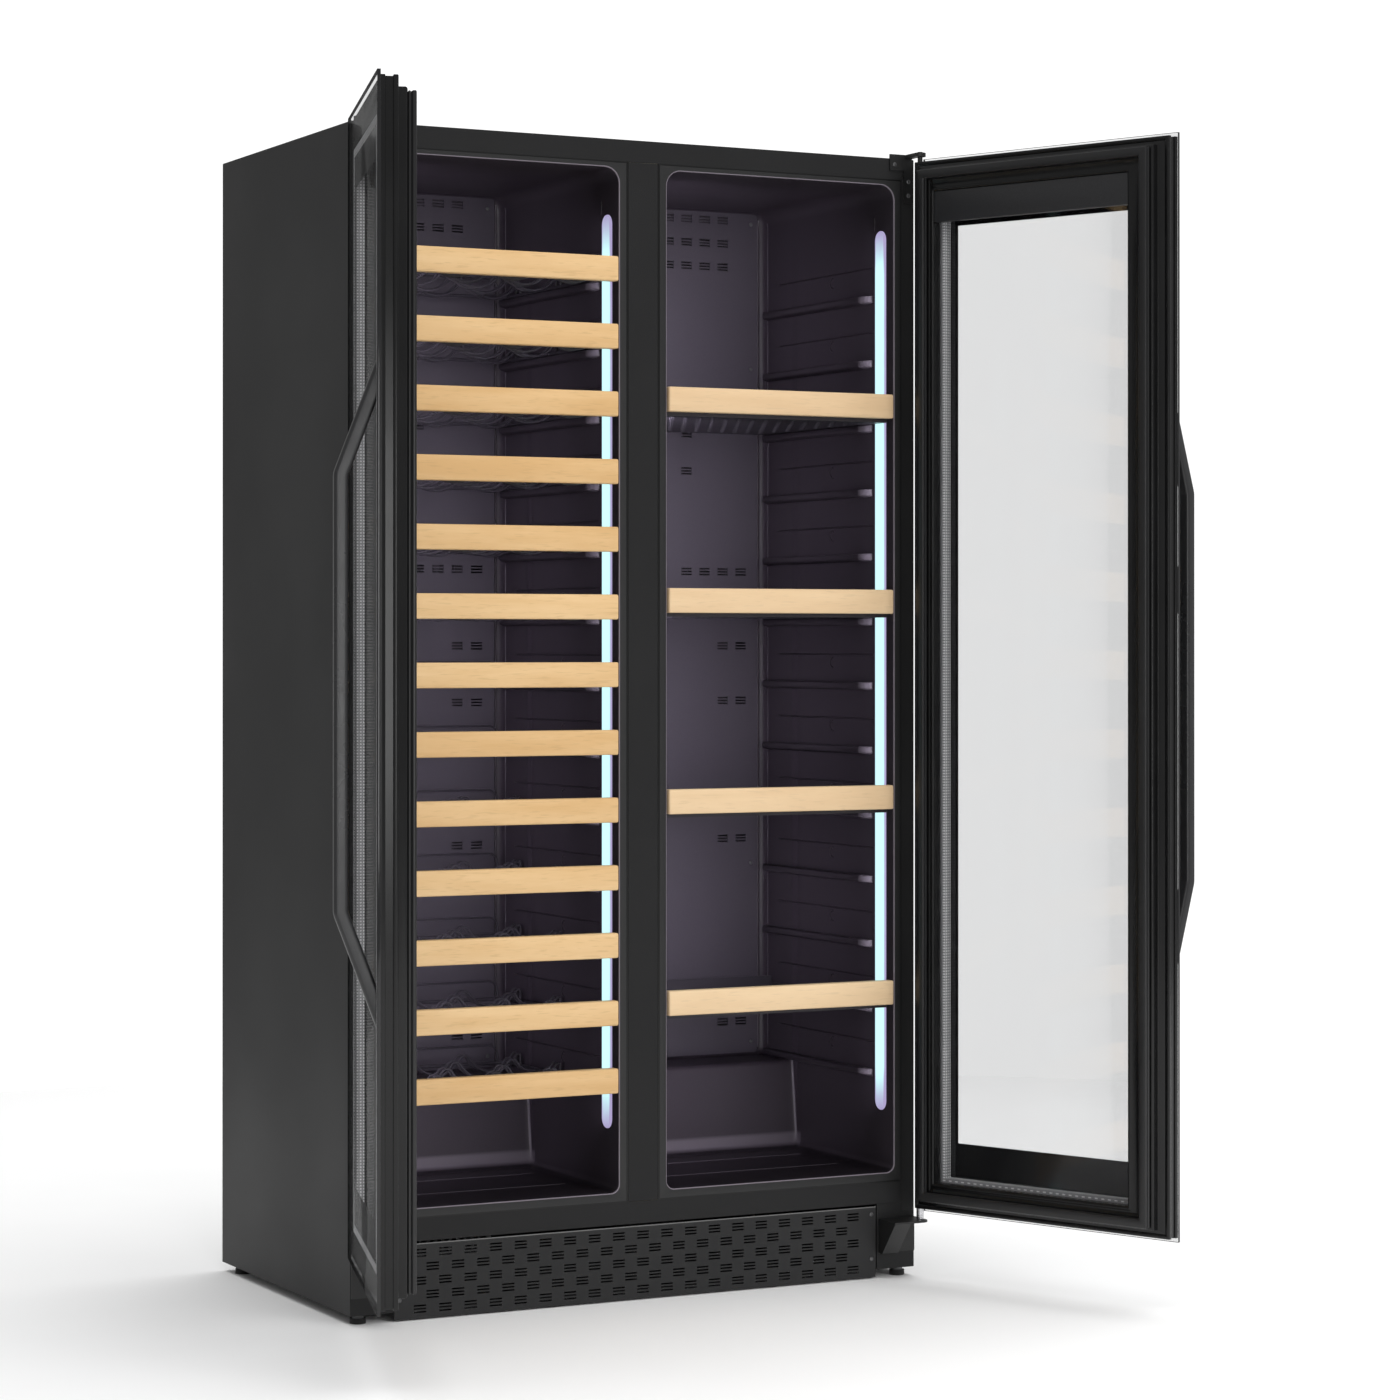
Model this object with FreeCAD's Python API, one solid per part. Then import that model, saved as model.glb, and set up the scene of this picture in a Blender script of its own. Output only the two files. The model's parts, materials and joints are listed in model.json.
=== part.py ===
import FreeCAD, Part
import os
from math import asin, cos, radians, sin

"""Two-zone upright wine cooler with glass doors, wire bottle racks and perforated shelves.

Millimetres. +Z is up, +Y points to the back, and the origin is on the floor, midway between
the sides, in the plane of the cabinet's front flanges. The doors are stored standing open.
"""

# ---- Cabinet ---------------------------------------------------------------------------
case_width = 960.0
case_height = 1770.0            # floor to the top of the casing
case_depth = 545.0              # front flanges to the back panel
foot_height = 14.0
casing_sheet = 1.2
casing_fold_radius = 2.0        # where the sides meet the top
casing_edge_radius = 0.8        # round the front edges
side_flange = 23.6              # front fold of each side panel
top_flange = 33.4               # front fold of the top panel
side_flange_bottom = 104.0
mitre_gap = 0.6
seam_gap = 0.4                  # between neighbouring front pieces
post_width = 50.8
lower_rail_bottom = 117.2
lower_rail_height = 33.5
base_sheet = 2.0
base_side_height = 30.0
back_sheet = 1.5
back_screw_inset = 16.0
back_screw_margin = 30.0        # top and bottom rows to the panel's ends
back_screw_rows = (0.35, 0.68)  # shares of the cabinet's height
back_vent_columns = 17
back_vent_rows = 5
back_vent_pitch = (40.0, 36.0)
back_vent_bottom = 110.0
foam_gap = 0.8

# ---- Liners, one for each zone ---------------------------------------------------------
liner_wall = 2.0
lip_side = 13.1                 # liner flange showing beside the side panel
lip_post = 15.5
lip_top = 9.6
lip_bottom = 15.2
lip_round = 1.6
liner_corner = 24.0             # upper corners of a zone
liner_low_corner = 13.0         # lower corners of a zone
back_thickness = 113.0          # liner back wall to the outside of the back panel
machine_depth = 228.0           # from the back panel forward to the foot of the step
step_height = 144.0             # step over the machine compartment
step_lean = 17.0
step_foam = 25.0
plenum_side = 33.0              # liner side wall to the air plenum
plenum_bottom = 35.0            # above the step
plenum_top = 27.0
plenum_depth = 55.0

# ---- Shelf ribs moulded in the liner walls ---------------------------------------------
rack_count = 13
shelf_on_rib = (3, 6, 9, 12)    # ribs that carry a shelf in the right zone, from the top
top_space = 169.0               # liner roof to the highest rib
lowest_rib_over_step = 12.0
rib_reach = 14.0
rib_height = 10.0
rib_front = 68.0
rib_ramp = 18.0
rib_back_gap = 8.0

# ---- Lights ----------------------------------------------------------------------------
light_width = 32.0
light_front = 24.0
light_thickness = 3.0
light_round = 1.0
light_top_space = 68.0
light_bottom_space = 94.0

# ---- Duct covers and their vents -------------------------------------------------------
cover_sheet = 2.5
cover_depth = 6.0
cover_side = 17.0               # liner side wall to the cover's edge
cover_top_space = 3.0
cover_bottom_space = 5.0        # above the step
cover_rim = 3.0
cover_round = 6.0
cover_screw_inset = 12.0
cover_screw_rows = (0.012, 0.185, 0.481, 0.774, 0.987)     # shares of its height, from the top
vent_pitch_x = 34.0
vent_pitch_z = 39.0
vent_columns = 10
vent_top_rows = 3
vent_top_space = 13.0
vent_slot = (20.0, 2.4)
vent_slot_pitch = 4.8
vent_lone_rows = (0.264, 0.308)     # shares of the cover's height, from its top
vent_wide_row = 0.427
vent_pair_rows = (0.515, 0.58, 0.744, 0.962)

# ---- Racks and shelves -----------------------------------------------------------------
board_height = 38.0
board_thickness = 18.0
board_proud = 4.0               # in front of the cabinet's front plane
board_drop = 4.4                # below the top of its rib
shelf_board_raise = 10.5        # a shelf's board over the level of a rack's
board_side_gap = 2.2
board_round = 2.5
seat_gap = 0.3
runner_radius = 3.0
runner_inset = 8.0              # runner's centre to the liner wall
runner_corner = 22.0
runner_back_gap = 28.0
wave_radius = 2.0
cups_across = 4
cup_depth = 27.0
crest_radius = 10.0
cup_low = 4.0                   # lowest point of a wave's centre line, below the rib's top
wave_pairs = 5
wave_pair_gap = 16.0
wave_first = 50.0
wave_last_gap = 46.0            # last pair to the rear bar
guard_height = 34.0
guard_inset = 16.0
tray_sheet = 1.5
tray_edge = 9.0
tray_guard = 20.0
tray_front = 20.0
tray_side_gap = 3.5
tray_hole_radius = 5.0
tray_hole_pitch = 24.0
tray_margin = 28.0

# ---- Doors, dimensioned closed ---------------------------------------------------------
door_bottom = 104.0
door_top_gap = 1.0              # under the plane of the casing's top
door_side_inset = 0.5
door_meeting_gap = 2.0
outer_glass = 5.0
glass_corner = 4.0
header_set_in = 2.0             # header bar behind the carrier's back
frame_depth = 24.0
carrier_depth = 14.0
gasket_depth = 12.7
gasket_seal_gap = 0.3
frame_end_inset = 7.0
carrier_inset = 20.0
gasket_inset = 24.0
gasket_width = 14.0
window_free = 66.0
window_hinge = 48.0
window_top = 58.0
window_bottom = 52.0
header_height = 48.6
header_thickness = 14.0
inner_glass = 4.0
glass_bite = 6.0
pane_clearance = 0.3
retainer = 5.0                  # frame in front of the inner pane's edge
edge_groove = (11.0, 2.0)       # width and depth of the groove round the frame
groove_from_glass = 6.0
right_open_angle = 112.0
left_open_angle = 107.2

# ---- Hinges ----------------------------------------------------------------------------
pivot_inset = 8.0               # from the outer side of the casing
pivot_forward = 33.0            # in front of the cabinet's front plane
pin_radius = 4.0
pin_fit = 0.05
pin_engage = 22.0
bushing_radius = 6.0
bracket_sheet = 3.0
lower_bracket_width = 65.0
lower_bracket_top = 94.0
lower_bracket_bottom = 40.0
lower_bracket_reach = 52.0
lower_bracket_foot = 12.0
upper_arm_thickness = 6.0
upper_arm_gap = 0.5
upper_arm_round = 9.0
upper_leg_height = 70.0
upper_leg_width = 14.0
upper_tab_width = 40.0
upper_tab_height = 19.0
upper_screw_low = 12.0          # from the leg's foot
upper_screw_pitch = 22.0
upper_tab_screw = 8.0           # from the tab's end
upper_inset = 5.0
upper_pin_head = 1.5
lower_screw_inset = 14.0
lower_screw_pitch = (34.0, 24.0)
lower_screw_drop = 16.0         # under the bracket's top
lower_shelf_round = 12.0
lower_apron_share = 0.45        # of the bracket's width

# ---- Door handles and control panel ----------------------------------------------------
handle_from_edge = 18.0
handle_width = 18.0
handle_thickness = 20.0
handle_standoff = 57.0
handle_bottom = 489.0
handle_length = 892.0
handle_slope = 151.0            # height taken by each sloping end
handle_round = 5.0
handle_outer_bend = 30.0
handle_inner_bend = 14.0
panel_width = 34.0
panel_height = 71.0
panel_bottom = 1047.0
panel_thickness = 7.0
panel_round = 2.0
panel_corner = 4.0
panel_from_edge = 4.0

# ---- Toe grille ------------------------------------------------------------------------
grille_side_gap = 70.0          # casing side to the grille's end
grille_bottom = 2.5
grille_top_gap = 3.7            # under the lower rail
grille_sheet = 2.0
grille_rows = 5
grille_columns = 19
grille_pitch_x = 41.0
grille_pitch_z = 20.7
grille_screw_inset = 8.0
grille_screw_drop = 12.0        # under the grille's top
grille_screw_pitch = 70.0

# ---- Feet and screws -------------------------------------------------------------------
foot_inset = 20.0
foot_radius = 12.0
foot_pad = 8.0
stud_radius = 4.0
stud_length = 30.0
nut_radius = 9.0
screw_head_radius = 3.4
screw_head_height = 1.8
screw_shank_radius = 1.6
screw_hole_clearance = 0.1

# ---- Cooling machinery -----------------------------------------------------------------
fan_radius = 58.0
fan_depth = 20.0
fan_blades = 5
fan_hub_radius = 16.0
fan_shaft_radius = 2.5
fan_shaft_fit = 0.05
fan_motor_radius = 22.0
fan_motor_depth = 20.0
fan_height = 0.42               # share of the plenum's height
compressor_radius = 68.0
compressor_height = 165.0
compressor_x = 230.0
condenser_size = (260.0, 80.0, 150.0)
condenser_x = -200.0
evaporator_size = (270.0, 38.0, 220.0)
gland_radius = 9.0
gland_hole = 4.5
gland_depth = 8.0
gland_x = -380.0
gland_z = 70.0
gland_collar = (12.0, 2.0)      # radius and thickness
compressor_round = 30.0
compressor_rise = 12.0          # pot over the base
compressor_foot = (9.0, 50.0)   # radius and height
compressor_foot_inset = 14.0
fin_gaps = 15
fin_gap_width = 8.0
fin_rim = 12.0
condenser_gaps = 19
condenser_gap_width = 7.0
condenser_floor = 8.0
condenser_back = 10.0
coil_over_fan = 40.0
fan_blade = (1.6, 24.0)         # thickness and width
fan_blade_pitch = 55.0
fan_blade_root = 3.0            # let into the hub
fan_shaft_start = 5.0           # behind the hub's front
fan_motor_gap = 2.0

# ---- Sizes that follow -----------------------------------------------------------------
half_width = case_width / 2
rail_top = lower_rail_bottom + lower_rail_height
zone_in = post_width / 2 + lip_post
zone_out = half_width - side_flange - lip_side
zone_mid = (zone_in + zone_out) / 2
zone_floor = rail_top + lip_bottom
zone_roof = case_height - top_flange - lip_top
zone_depth = case_depth - back_thickness
step_top = zone_floor + step_height
step_front = case_depth - machine_depth
highest_rib = zone_roof - top_space
lowest_rib = step_top + lowest_rib_over_step
rib_pitch = (highest_rib - lowest_rib) / (rack_count - 1)
cover_back = zone_depth
cover_front = zone_depth - cover_depth
cover_bottom = step_top + cover_bottom_space
cover_top = zone_roof - cover_top_space
plenum_back = zone_depth + plenum_depth
plenum_low = step_top + plenum_bottom
plenum_high = zone_roof - plenum_top
door_in = door_meeting_gap / 2
door_out = half_width - door_side_inset
door_top = case_height - door_top_gap
gasket_back = -gasket_seal_gap
carrier_back = gasket_back - gasket_depth
frame_back = carrier_back - carrier_depth
glass_back = frame_back - frame_depth
door_face = glass_back - outer_glass
pivot_x = half_width - pivot_inset
pivot_y = -pivot_forward
base_floor = foot_height
grille_half = half_width - grille_side_gap

Vector = FreeCAD.Vector
UP = Vector(0, 0, 1)
BACK = Vector(0, 1, 0)
RIGHT = Vector(1, 0, 0)


def box(x, y, z):
    """Block between two values along each axis."""
    return Part.makeBox(x[1] - x[0], y[1] - y[0], z[1] - z[0], Vector(x[0], y[0], z[0]))


def cylinder(radius, length, start, direction):
    return Part.makeCylinder(radius, length, start, direction)


def mirrored(shape):
    """The same piece on the other side of the cabinet."""
    return shape.mirror(Vector(0, 0, 0), RIGHT)


def outline_prism(points, direction):
    """Prism over a closed outline of points."""
    loop = Part.makePolygon(points + points[:1])
    return Part.Face(loop).extrude(direction)


def round_edges(shape, radius, chosen):
    """Fillets the edges that the test chooses."""
    edges = [edge for edge in shape.Edges if chosen(edge)]
    return shape.makeFillet(radius, edges)


def runs_along(edge, axis):
    """True for a straight edge along an axis."""
    if not isinstance(edge.Curve, Part.Line):
        return False
    start, end = (vertex.Point for vertex in edge.Vertexes)
    return abs((end - start).normalize().dot(axis)) > 0.999


def rounded_block(x, y, z, axis, radius):
    """Block with its edges along one axis rounded."""
    return round_edges(box(x, y, z), radius, lambda edge: runs_along(edge, axis))


def sweep(edges, radius):
    """Round wire of one radius along a chain of edges."""
    first = edges[0]
    start = first.valueAt(first.FirstParameter)
    direction = first.tangentAt(first.FirstParameter)
    section = Part.Wire(Part.makeCircle(radius, start, direction))
    return Part.Wire(edges).makePipeShell([section], True, False)


def line(a, b):
    return Part.LineSegment(a, b).toShape()


def arc(a, middle, b):
    return Part.Arc(a, middle, b).toShape()


def ring(x, z, y, band):
    """Rectangular ring in the plane of a door. band is left, right, bottom, top widths."""
    hole = box((x[0] + band[0], x[1] - band[1]), (y[0] - 1, y[1] + 1), (z[0] + band[2], z[1] - band[3]))
    return box(x, y, z).cut(hole)


def join(shapes):
    return shapes[0].multiFuse(shapes[1:]).removeSplitter()


def screw(point, outward, plate):
    """Pan-head screw whose shank passes through a plate."""
    head = cylinder(screw_head_radius, screw_head_height, point, outward)
    head = head.makeFillet(1.0, [edge for edge in head.Edges if is_rim(edge, point, outward)])
    shank = cylinder(screw_shank_radius, plate, point, outward * -1)
    return head.fuse(shank)


def is_rim(edge, point, outward):
    """True for the round edge at the outer end of a head."""
    if not isinstance(edge.Curve, Part.Circle):
        return False
    return (edge.Curve.Center - point).dot(outward) > screw_head_height / 2


def screw_holes(shape, places, outward, depth):
    """Cuts clearance holes for screws through a plate."""
    radius = screw_shank_radius + screw_hole_clearance
    for place in places:
        shape = shape.cut(cylinder(radius, depth + 2, place + outward, outward * -1))
    return shape


def slot_group(x, z, y):
    """Three short level slots, one above another: the cutter of one vent."""
    width, height = vent_slot
    cutters = []
    for row in (-1, 0, 1):
        low = z + row * vent_slot_pitch - height / 2
        cutters.append(box((x - width / 2, x + width / 2), y, (low, low + height)))
    return cutters


# ---- Casing and frame ------------------------------------------------------------------
def outer_casing():
    """Sides and top folded from one sheet, with mitred front flanges."""
    shell = box((-half_width, half_width), (0, case_depth), (foot_height, case_height))
    shell = round_edges(shell, casing_fold_radius, is_fold)
    shell = round_edges(shell, casing_edge_radius, is_front_edge)
    inside_x = half_width - casing_sheet
    inside = box((-inside_x, inside_x), (casing_sheet, case_depth + 1), (0, case_height - casing_sheet))
    opening_x = half_width - side_flange
    opening = box((-opening_x, opening_x), (-1, casing_sheet + 1), (0, case_height - top_flange))
    below = box((-inside_x, inside_x), (-1, casing_sheet + 1), (0, side_flange_bottom))
    shell = shell.cut(Part.makeCompound([inside, opening])).cut(below)
    return shell.cut(mitre()).cut(mirrored(mitre()))


def is_fold(edge):
    """True for the two long edges where the sides meet the top."""
    return runs_along(edge, BACK) and edge.BoundBox.ZMin > foot_height


def is_front_edge(edge):
    """True for the front edges of the sides and top."""
    return edge.BoundBox.YMax < 0.01 and edge.BoundBox.ZMax > foot_height + 1


def mitre():
    """Thin wedge that parts the side flange from the top flange at a corner."""
    inner = Vector(half_width - side_flange, -1, case_height - top_flange)
    outer = Vector(half_width - casing_sheet, -1, case_height - casing_sheet)
    along = (outer - inner).normalize()
    inner = inner - along * (2 * mitre_gap)
    across = Vector(along.z, 0, -along.x) * (mitre_gap / 2)
    corners = [inner + across, outer + across, outer - across, inner - across]
    return outline_prism(corners, Vector(0, casing_sheet + 2, 0))


def back_places():
    """Screw places round the back panel."""
    rows = [case_height * share for share in back_screw_rows]
    rows += [base_floor + back_screw_margin, case_height - back_screw_margin]
    x = half_width - back_screw_inset
    return [Vector(side * x, case_depth, z) for side in (-1, 1) for z in rows]


def back_panel():
    """Rear sheet with vents over the machine compartment and a cable gland."""
    side = half_width - casing_sheet - seam_gap
    top = case_height - casing_sheet - seam_gap
    depth = (case_depth - back_sheet, case_depth)
    panel = box((-side, side), depth, (base_floor + base_sheet, top))
    cutters = []
    through = (case_depth - back_sheet - 1, case_depth + 1)
    for column in range(back_vent_columns):
        x = (column - (back_vent_columns - 1) / 2) * back_vent_pitch[0]
        for row in range(back_vent_rows):
            cutters += slot_group(x, back_vent_bottom + row * back_vent_pitch[1], through)
    panel = panel.cut(Part.makeCompound(cutters))
    panel = screw_holes(panel, back_places(), BACK, back_sheet)
    gland_centre = Vector(gland_x, case_depth - back_sheet - gland_depth / 2, gland_z)
    panel = panel.cut(cylinder(gland_radius, gland_depth, gland_centre, BACK))
    gland = cylinder(gland_radius, gland_depth, gland_centre, BACK)
    collar = cylinder(gland_collar[0], gland_collar[1], Vector(gland_x, case_depth, gland_z), BACK)
    bore = cylinder(gland_hole, 3 * gland_depth, gland_centre - BACK * gland_depth, BACK)
    return Part.makeCompound([panel, gland.fuse(collar).cut(bore)])


def corner_plate():
    """Upright of the base behind the right lower hinge, stepped round the side flange."""
    start = grille_half + base_sheet
    depth = (0, base_sheet)
    flange = half_width - side_flange - seam_gap
    tall = box((start, flange), depth, (base_floor, lower_rail_bottom - seam_gap))
    short_top = side_flange_bottom - seam_gap
    return tall.fuse(box((start, half_width - casing_sheet), depth, (base_floor, short_top)))


def base_tray():
    """Floor of the machine compartment with side flanges and two front uprights."""
    side = half_width - casing_sheet - seam_gap
    back = case_depth - back_sheet - seam_gap
    floor_z = (base_floor, base_floor + base_sheet)
    pieces = [box((-side, side), (base_sheet, back), floor_z), corner_plate(), mirrored(corner_plate())]
    for sign in (-1, 1):
        x = sorted((sign * side, sign * (side - base_sheet)))
        pieces.append(box(x, (base_sheet, back), (base_floor, base_floor + base_side_height)))
    tray = join(pieces)
    for place in foot_places():
        hole = stud_radius + screw_hole_clearance
        tray = tray.cut(cylinder(hole, 2 * stud_length, place, UP))
    return tray


def front_frame():
    """Centre post and lower rail, folded sheet behind the doors' seals."""
    side = half_width - casing_sheet - seam_gap
    rail_low = box((-side, side), (0, casing_sheet), (lower_rail_bottom, rail_top))
    flange = half_width - side_flange + seam_gap
    for sign in (-1, 1):
        x = sorted((sign * (flange - 2 * seam_gap), sign * (half_width + 1)))
        rail_low = rail_low.cut(box(x, (-1, casing_sheet + 1), (0, rail_top + 1)))
    post_x = post_width / 2 - seam_gap
    post_z = (rail_top + seam_gap, case_height - top_flange - seam_gap)
    post = box((-post_x, post_x), (0, casing_sheet), post_z)
    return Part.makeCompound([rail_low, post])


def foot_places():
    """Centres of the feet on the floor."""
    x = half_width - foot_inset
    front = foot_inset
    back = case_depth - 2 * foot_inset
    return [Vector(sign * x, y, 0) for sign in (-1, 1) for y in (front, back)]


def levelling_feet():
    feet = []
    for place in foot_places():
        pad = cylinder(foot_radius, foot_pad, place, UP)
        nut_z = place + UP * foot_pad
        nut = cylinder(nut_radius, base_floor - foot_pad, nut_z, UP)
        stud = cylinder(stud_radius, stud_length, nut_z, UP)
        feet.append(join([pad, nut, stud]))
    return Part.makeCompound(feet)


# ---- Liners ----------------------------------------------------------------------------
def zone_space(grow, front):
    """Inside of the right zone, larger by a margin on every face."""
    x = (zone_in - grow, zone_out + grow)
    z = (zone_floor - grow, zone_roof + grow)
    space = box(x, (front, zone_depth + grow), z)
    space = round_edges(space, liner_corner + grow, lambda edge: is_zone_corner(edge, zone_roof))
    space = round_edges(space, liner_low_corner + grow, lambda edge: is_zone_corner(edge, zone_floor))
    step = [
        Vector(x[0] - 1, step_front + grow, zone_floor - grow - 1),
        Vector(x[0] - 1, step_front + grow, zone_floor - grow),
        Vector(x[0] - 1, step_front + step_lean + grow, step_top - grow),
        Vector(x[0] - 1, zone_depth + grow + 1, step_top - grow),
        Vector(x[0] - 1, zone_depth + grow + 1, zone_floor - grow - 1),
    ]
    step = outline_prism(step, RIGHT * (x[1] - x[0] + 2))
    space = space.cut(step)
    plenum_x = (zone_in + plenum_side - grow, zone_out - plenum_side + grow)
    plenum_y = (zone_depth - 1, plenum_back + grow)
    return space.fuse(box(plenum_x, plenum_y, (plenum_low - grow, plenum_high + grow)))


def is_zone_corner(edge, level):
    """True for the front-to-back edges of a zone near one level."""
    return runs_along(edge, BACK) and abs(edge.CenterOfMass.z - level) < liner_low_corner


def rib(z):
    """Right-hand shelf rib with a ramped front end."""
    back = cover_front - rib_back_gap
    points = [
        Vector(zone_out + 1, rib_front, z - rib_height),
        Vector(zone_out, rib_front, z - rib_height),
        Vector(zone_out - rib_reach, rib_front + rib_ramp, z - rib_height),
        Vector(zone_out - rib_reach, back, z - rib_height),
        Vector(zone_out + 1, back, z - rib_height),
    ]
    return outline_prism(points, UP * rib_height)


def rib_tops():
    """Height of each rib's top, from the highest down."""
    return [highest_rib - rib_pitch * number for number in range(rack_count)]


def liner():
    """Moulded inner box of the right zone: flange, walls, step, air plenum and ribs."""
    flange_x = (post_width / 2, half_width - side_flange)
    flange_z = (rail_top, case_height - top_flange)
    flange = box(flange_x, (0, liner_wall), flange_z)
    outside = zone_space(liner_wall, 0)
    inside = zone_space(0, -1)
    body = flange.fuse(outside).cut(inside)
    body = round_edges(body, lip_round, is_lip)
    ribs = [rib(z) for z in rib_tops()]
    ribs += [one.mirror(Vector(zone_mid, 0, 0), RIGHT) for one in ribs]
    return body.multiFuse(ribs)


def is_lip(edge):
    """True for the edges where the flange turns into the zone."""
    bounds = edge.BoundBox
    if bounds.YMax > 0.01:
        return False
    inside_x = zone_in - 1 < bounds.XMin and bounds.XMax < zone_out + 1
    return inside_x and zone_floor - 1 < bounds.ZMin and bounds.ZMax < zone_roof + 1


def insulation():
    """Foam between the casing and both liners."""
    side = half_width - casing_sheet - foam_gap
    front = liner_wall + foam_gap
    back = case_depth - back_sheet - foam_gap
    low = rail_top - lower_rail_height + seam_gap
    under_step = step_top - liner_wall - step_foam
    under_front = step_front + liner_wall + step_foam
    top = case_height - casing_sheet - foam_gap
    points = [
        Vector(-side, front, low),
        Vector(-side, under_front, low),
        Vector(-side, under_front + step_lean, under_step),
        Vector(-side, back, under_step),
        Vector(-side, back, top),
        Vector(-side, front, top),
    ]
    foam = outline_prism(points, RIGHT * (2 * side))
    pocket = zone_space(liner_wall + foam_gap, -1)
    return foam.cut(pocket).cut(mirrored(pocket))


def light_strip():
    """Diffuser on the right zone's outer wall, with round ends."""
    x = (zone_out - light_thickness, zone_out)
    y = (light_front, light_front + light_width)
    z = (zone_floor + light_bottom_space, zone_roof - light_top_space)
    strip = rounded_block(x, y, z, RIGHT, light_width / 2 - 0.01)
    return round_edges(
        strip, light_round, lambda edge: edge.BoundBox.XMax < zone_out - light_thickness + 0.01
    )


def cover_places():
    """Screw places on the right duct cover."""
    rows = [cover_top - (cover_top - cover_bottom) * share for share in cover_screw_rows]
    inset = cover_side + cover_screw_inset
    sides = [zone_in + inset, zone_out - inset]
    return [Vector(x, cover_front, z) for x in sides for z in rows]


def vent_centres():
    """Centres of the vents in the right duct cover."""
    height = cover_top - cover_bottom
    half = vent_columns // 2
    columns = [(number + 0.5) * vent_pitch_x for number in range(half)]
    centres = []
    for row in range(vent_top_rows):
        z = cover_top - vent_top_space - row * vent_pitch_z
        centres += [(x, z) for x in columns[:-1]]
    centres += [(columns[1], cover_top - height * share) for share in vent_lone_rows]
    centres += [(x, cover_top - height * vent_wide_row) for x in columns[1:]]
    for share in vent_pair_rows:
        centres += [(x, cover_top - height * share) for x in columns[-2:]]
    return [(zone_mid + sign * x, z) for sign in (-1, 1) for x, z in centres]


def duct_cover():
    """Vented cover over the right air plenum, with a rim that stands on the liner."""
    x = (zone_in + cover_side, zone_out - cover_side)
    z = (cover_bottom, cover_top)
    cover = rounded_block(x, (cover_front, cover_back), z, BACK, cover_round)
    hollow_x = (x[0] + cover_rim, x[1] - cover_rim)
    hollow_z = (z[0] + cover_rim, z[1] - cover_rim)
    cover = cover.cut(box(hollow_x, (cover_front + cover_sheet, cover_back + 1), hollow_z))
    cutters = []
    for vent_x, vent_z in vent_centres():
        cutters += slot_group(vent_x, vent_z, (cover_front - 1, cover_back))
    cover = cover.cut(Part.makeCompound(cutters))
    return screw_holes(cover, cover_places(), BACK * -1, cover_sheet)


# ---- Cooling machinery -----------------------------------------------------------------
def fan_centre():
    z = plenum_low + (plenum_high - plenum_low) * fan_height
    return Vector(zone_mid, plenum_back - fan_motor_depth - fan_motor_gap - fan_depth, z)


def fan_wheel():
    """Axial fan of the right zone, turning on its motor's shaft."""
    centre = fan_centre()
    hub = cylinder(fan_hub_radius, fan_depth, centre, BACK)
    root = fan_hub_radius - fan_blade_root
    thickness, width = fan_blade
    blade = box((root, fan_radius), (-thickness / 2, thickness / 2), (-width / 2, width / 2))
    blade.rotate(Vector(0, 0, 0), RIGHT, fan_blade_pitch)
    blade.translate(centre + BACK * (fan_depth / 2))
    blades = []
    for number in range(fan_blades):
        one = blade.copy()
        one.rotate(centre, BACK, 360.0 / fan_blades * number)
        blades.append(one)
    bore_start = centre + BACK * (fan_shaft_start - 1)
    bore = cylinder(fan_shaft_radius + fan_shaft_fit, fan_depth, bore_start, BACK)
    return hub.multiFuse(blades).cut(bore)


def fan_motor():
    """Motor on the back of the plenum, with the shaft that carries the fan."""
    centre = fan_centre()
    start = Vector(centre.x, plenum_back - fan_motor_depth, centre.z)
    motor = cylinder(fan_motor_radius, fan_motor_depth, start, BACK)
    shaft_start = centre + BACK * fan_shaft_start
    shaft = cylinder(fan_shaft_radius, start.y - shaft_start.y + 1, shaft_start, BACK)
    return motor.fuse(shaft)


def evaporator():
    """Finned coil in the right plenum, above its fan."""
    width, depth, height = evaporator_size
    left = zone_mid - width / 2
    front = plenum_back - depth
    low = fan_centre().z + fan_radius + coil_over_fan
    block = box((left, left + width), (front, plenum_back), (low, low + height))
    gap_z = (low + fin_rim, low + height - fin_rim)
    gaps = []
    for number in range(fin_gaps):
        x = left + width / (fin_gaps + 1) * (number + 1)
        gap_x = (x - fin_gap_width / 2, x + fin_gap_width / 2)
        gaps.append(box(gap_x, (front - 1, plenum_back - fin_rim), gap_z))
    return block.cut(Part.makeCompound(gaps))


def compressor():
    """Sealed compressor pot on three feet."""
    y = (step_front + step_lean + step_foam + case_depth) / 2
    floor = base_floor + base_sheet
    start = Vector(compressor_x, y, floor + compressor_rise)
    pot = cylinder(compressor_radius, compressor_height, start, UP)
    rims = [edge for edge in pot.Edges if isinstance(edge.Curve, Part.Circle)]
    pot = pot.makeFillet(compressor_round, rims)
    reach = compressor_radius - compressor_foot_inset
    feet = []
    for number in range(3):
        angle = radians(90 + 120 * number)
        place = Vector(compressor_x + reach * cos(angle), y + reach * sin(angle), floor)
        feet.append(cylinder(compressor_foot[0], compressor_foot[1], place, UP))
    return pot.multiFuse(feet)


def condenser():
    """Finned condenser block beside the compressor."""
    width, depth, height = condenser_size
    y = (step_front + step_lean + step_foam + case_depth) / 2
    floor = base_floor + base_sheet
    left = condenser_x - width / 2
    front = y - depth / 2
    block = box((left, left + width), (front, front + depth), (floor, floor + height))
    gap_y = (front - 1, front + depth - condenser_back)
    gap_z = (floor + condenser_floor, floor + height + 1)
    gaps = []
    for number in range(condenser_gaps):
        x = left + width / (condenser_gaps + 1) * (number + 1)
        gaps.append(box((x - condenser_gap_width / 2, x + condenser_gap_width / 2), gap_y, gap_z))
    return block.cut(Part.makeCompound(gaps))


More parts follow.
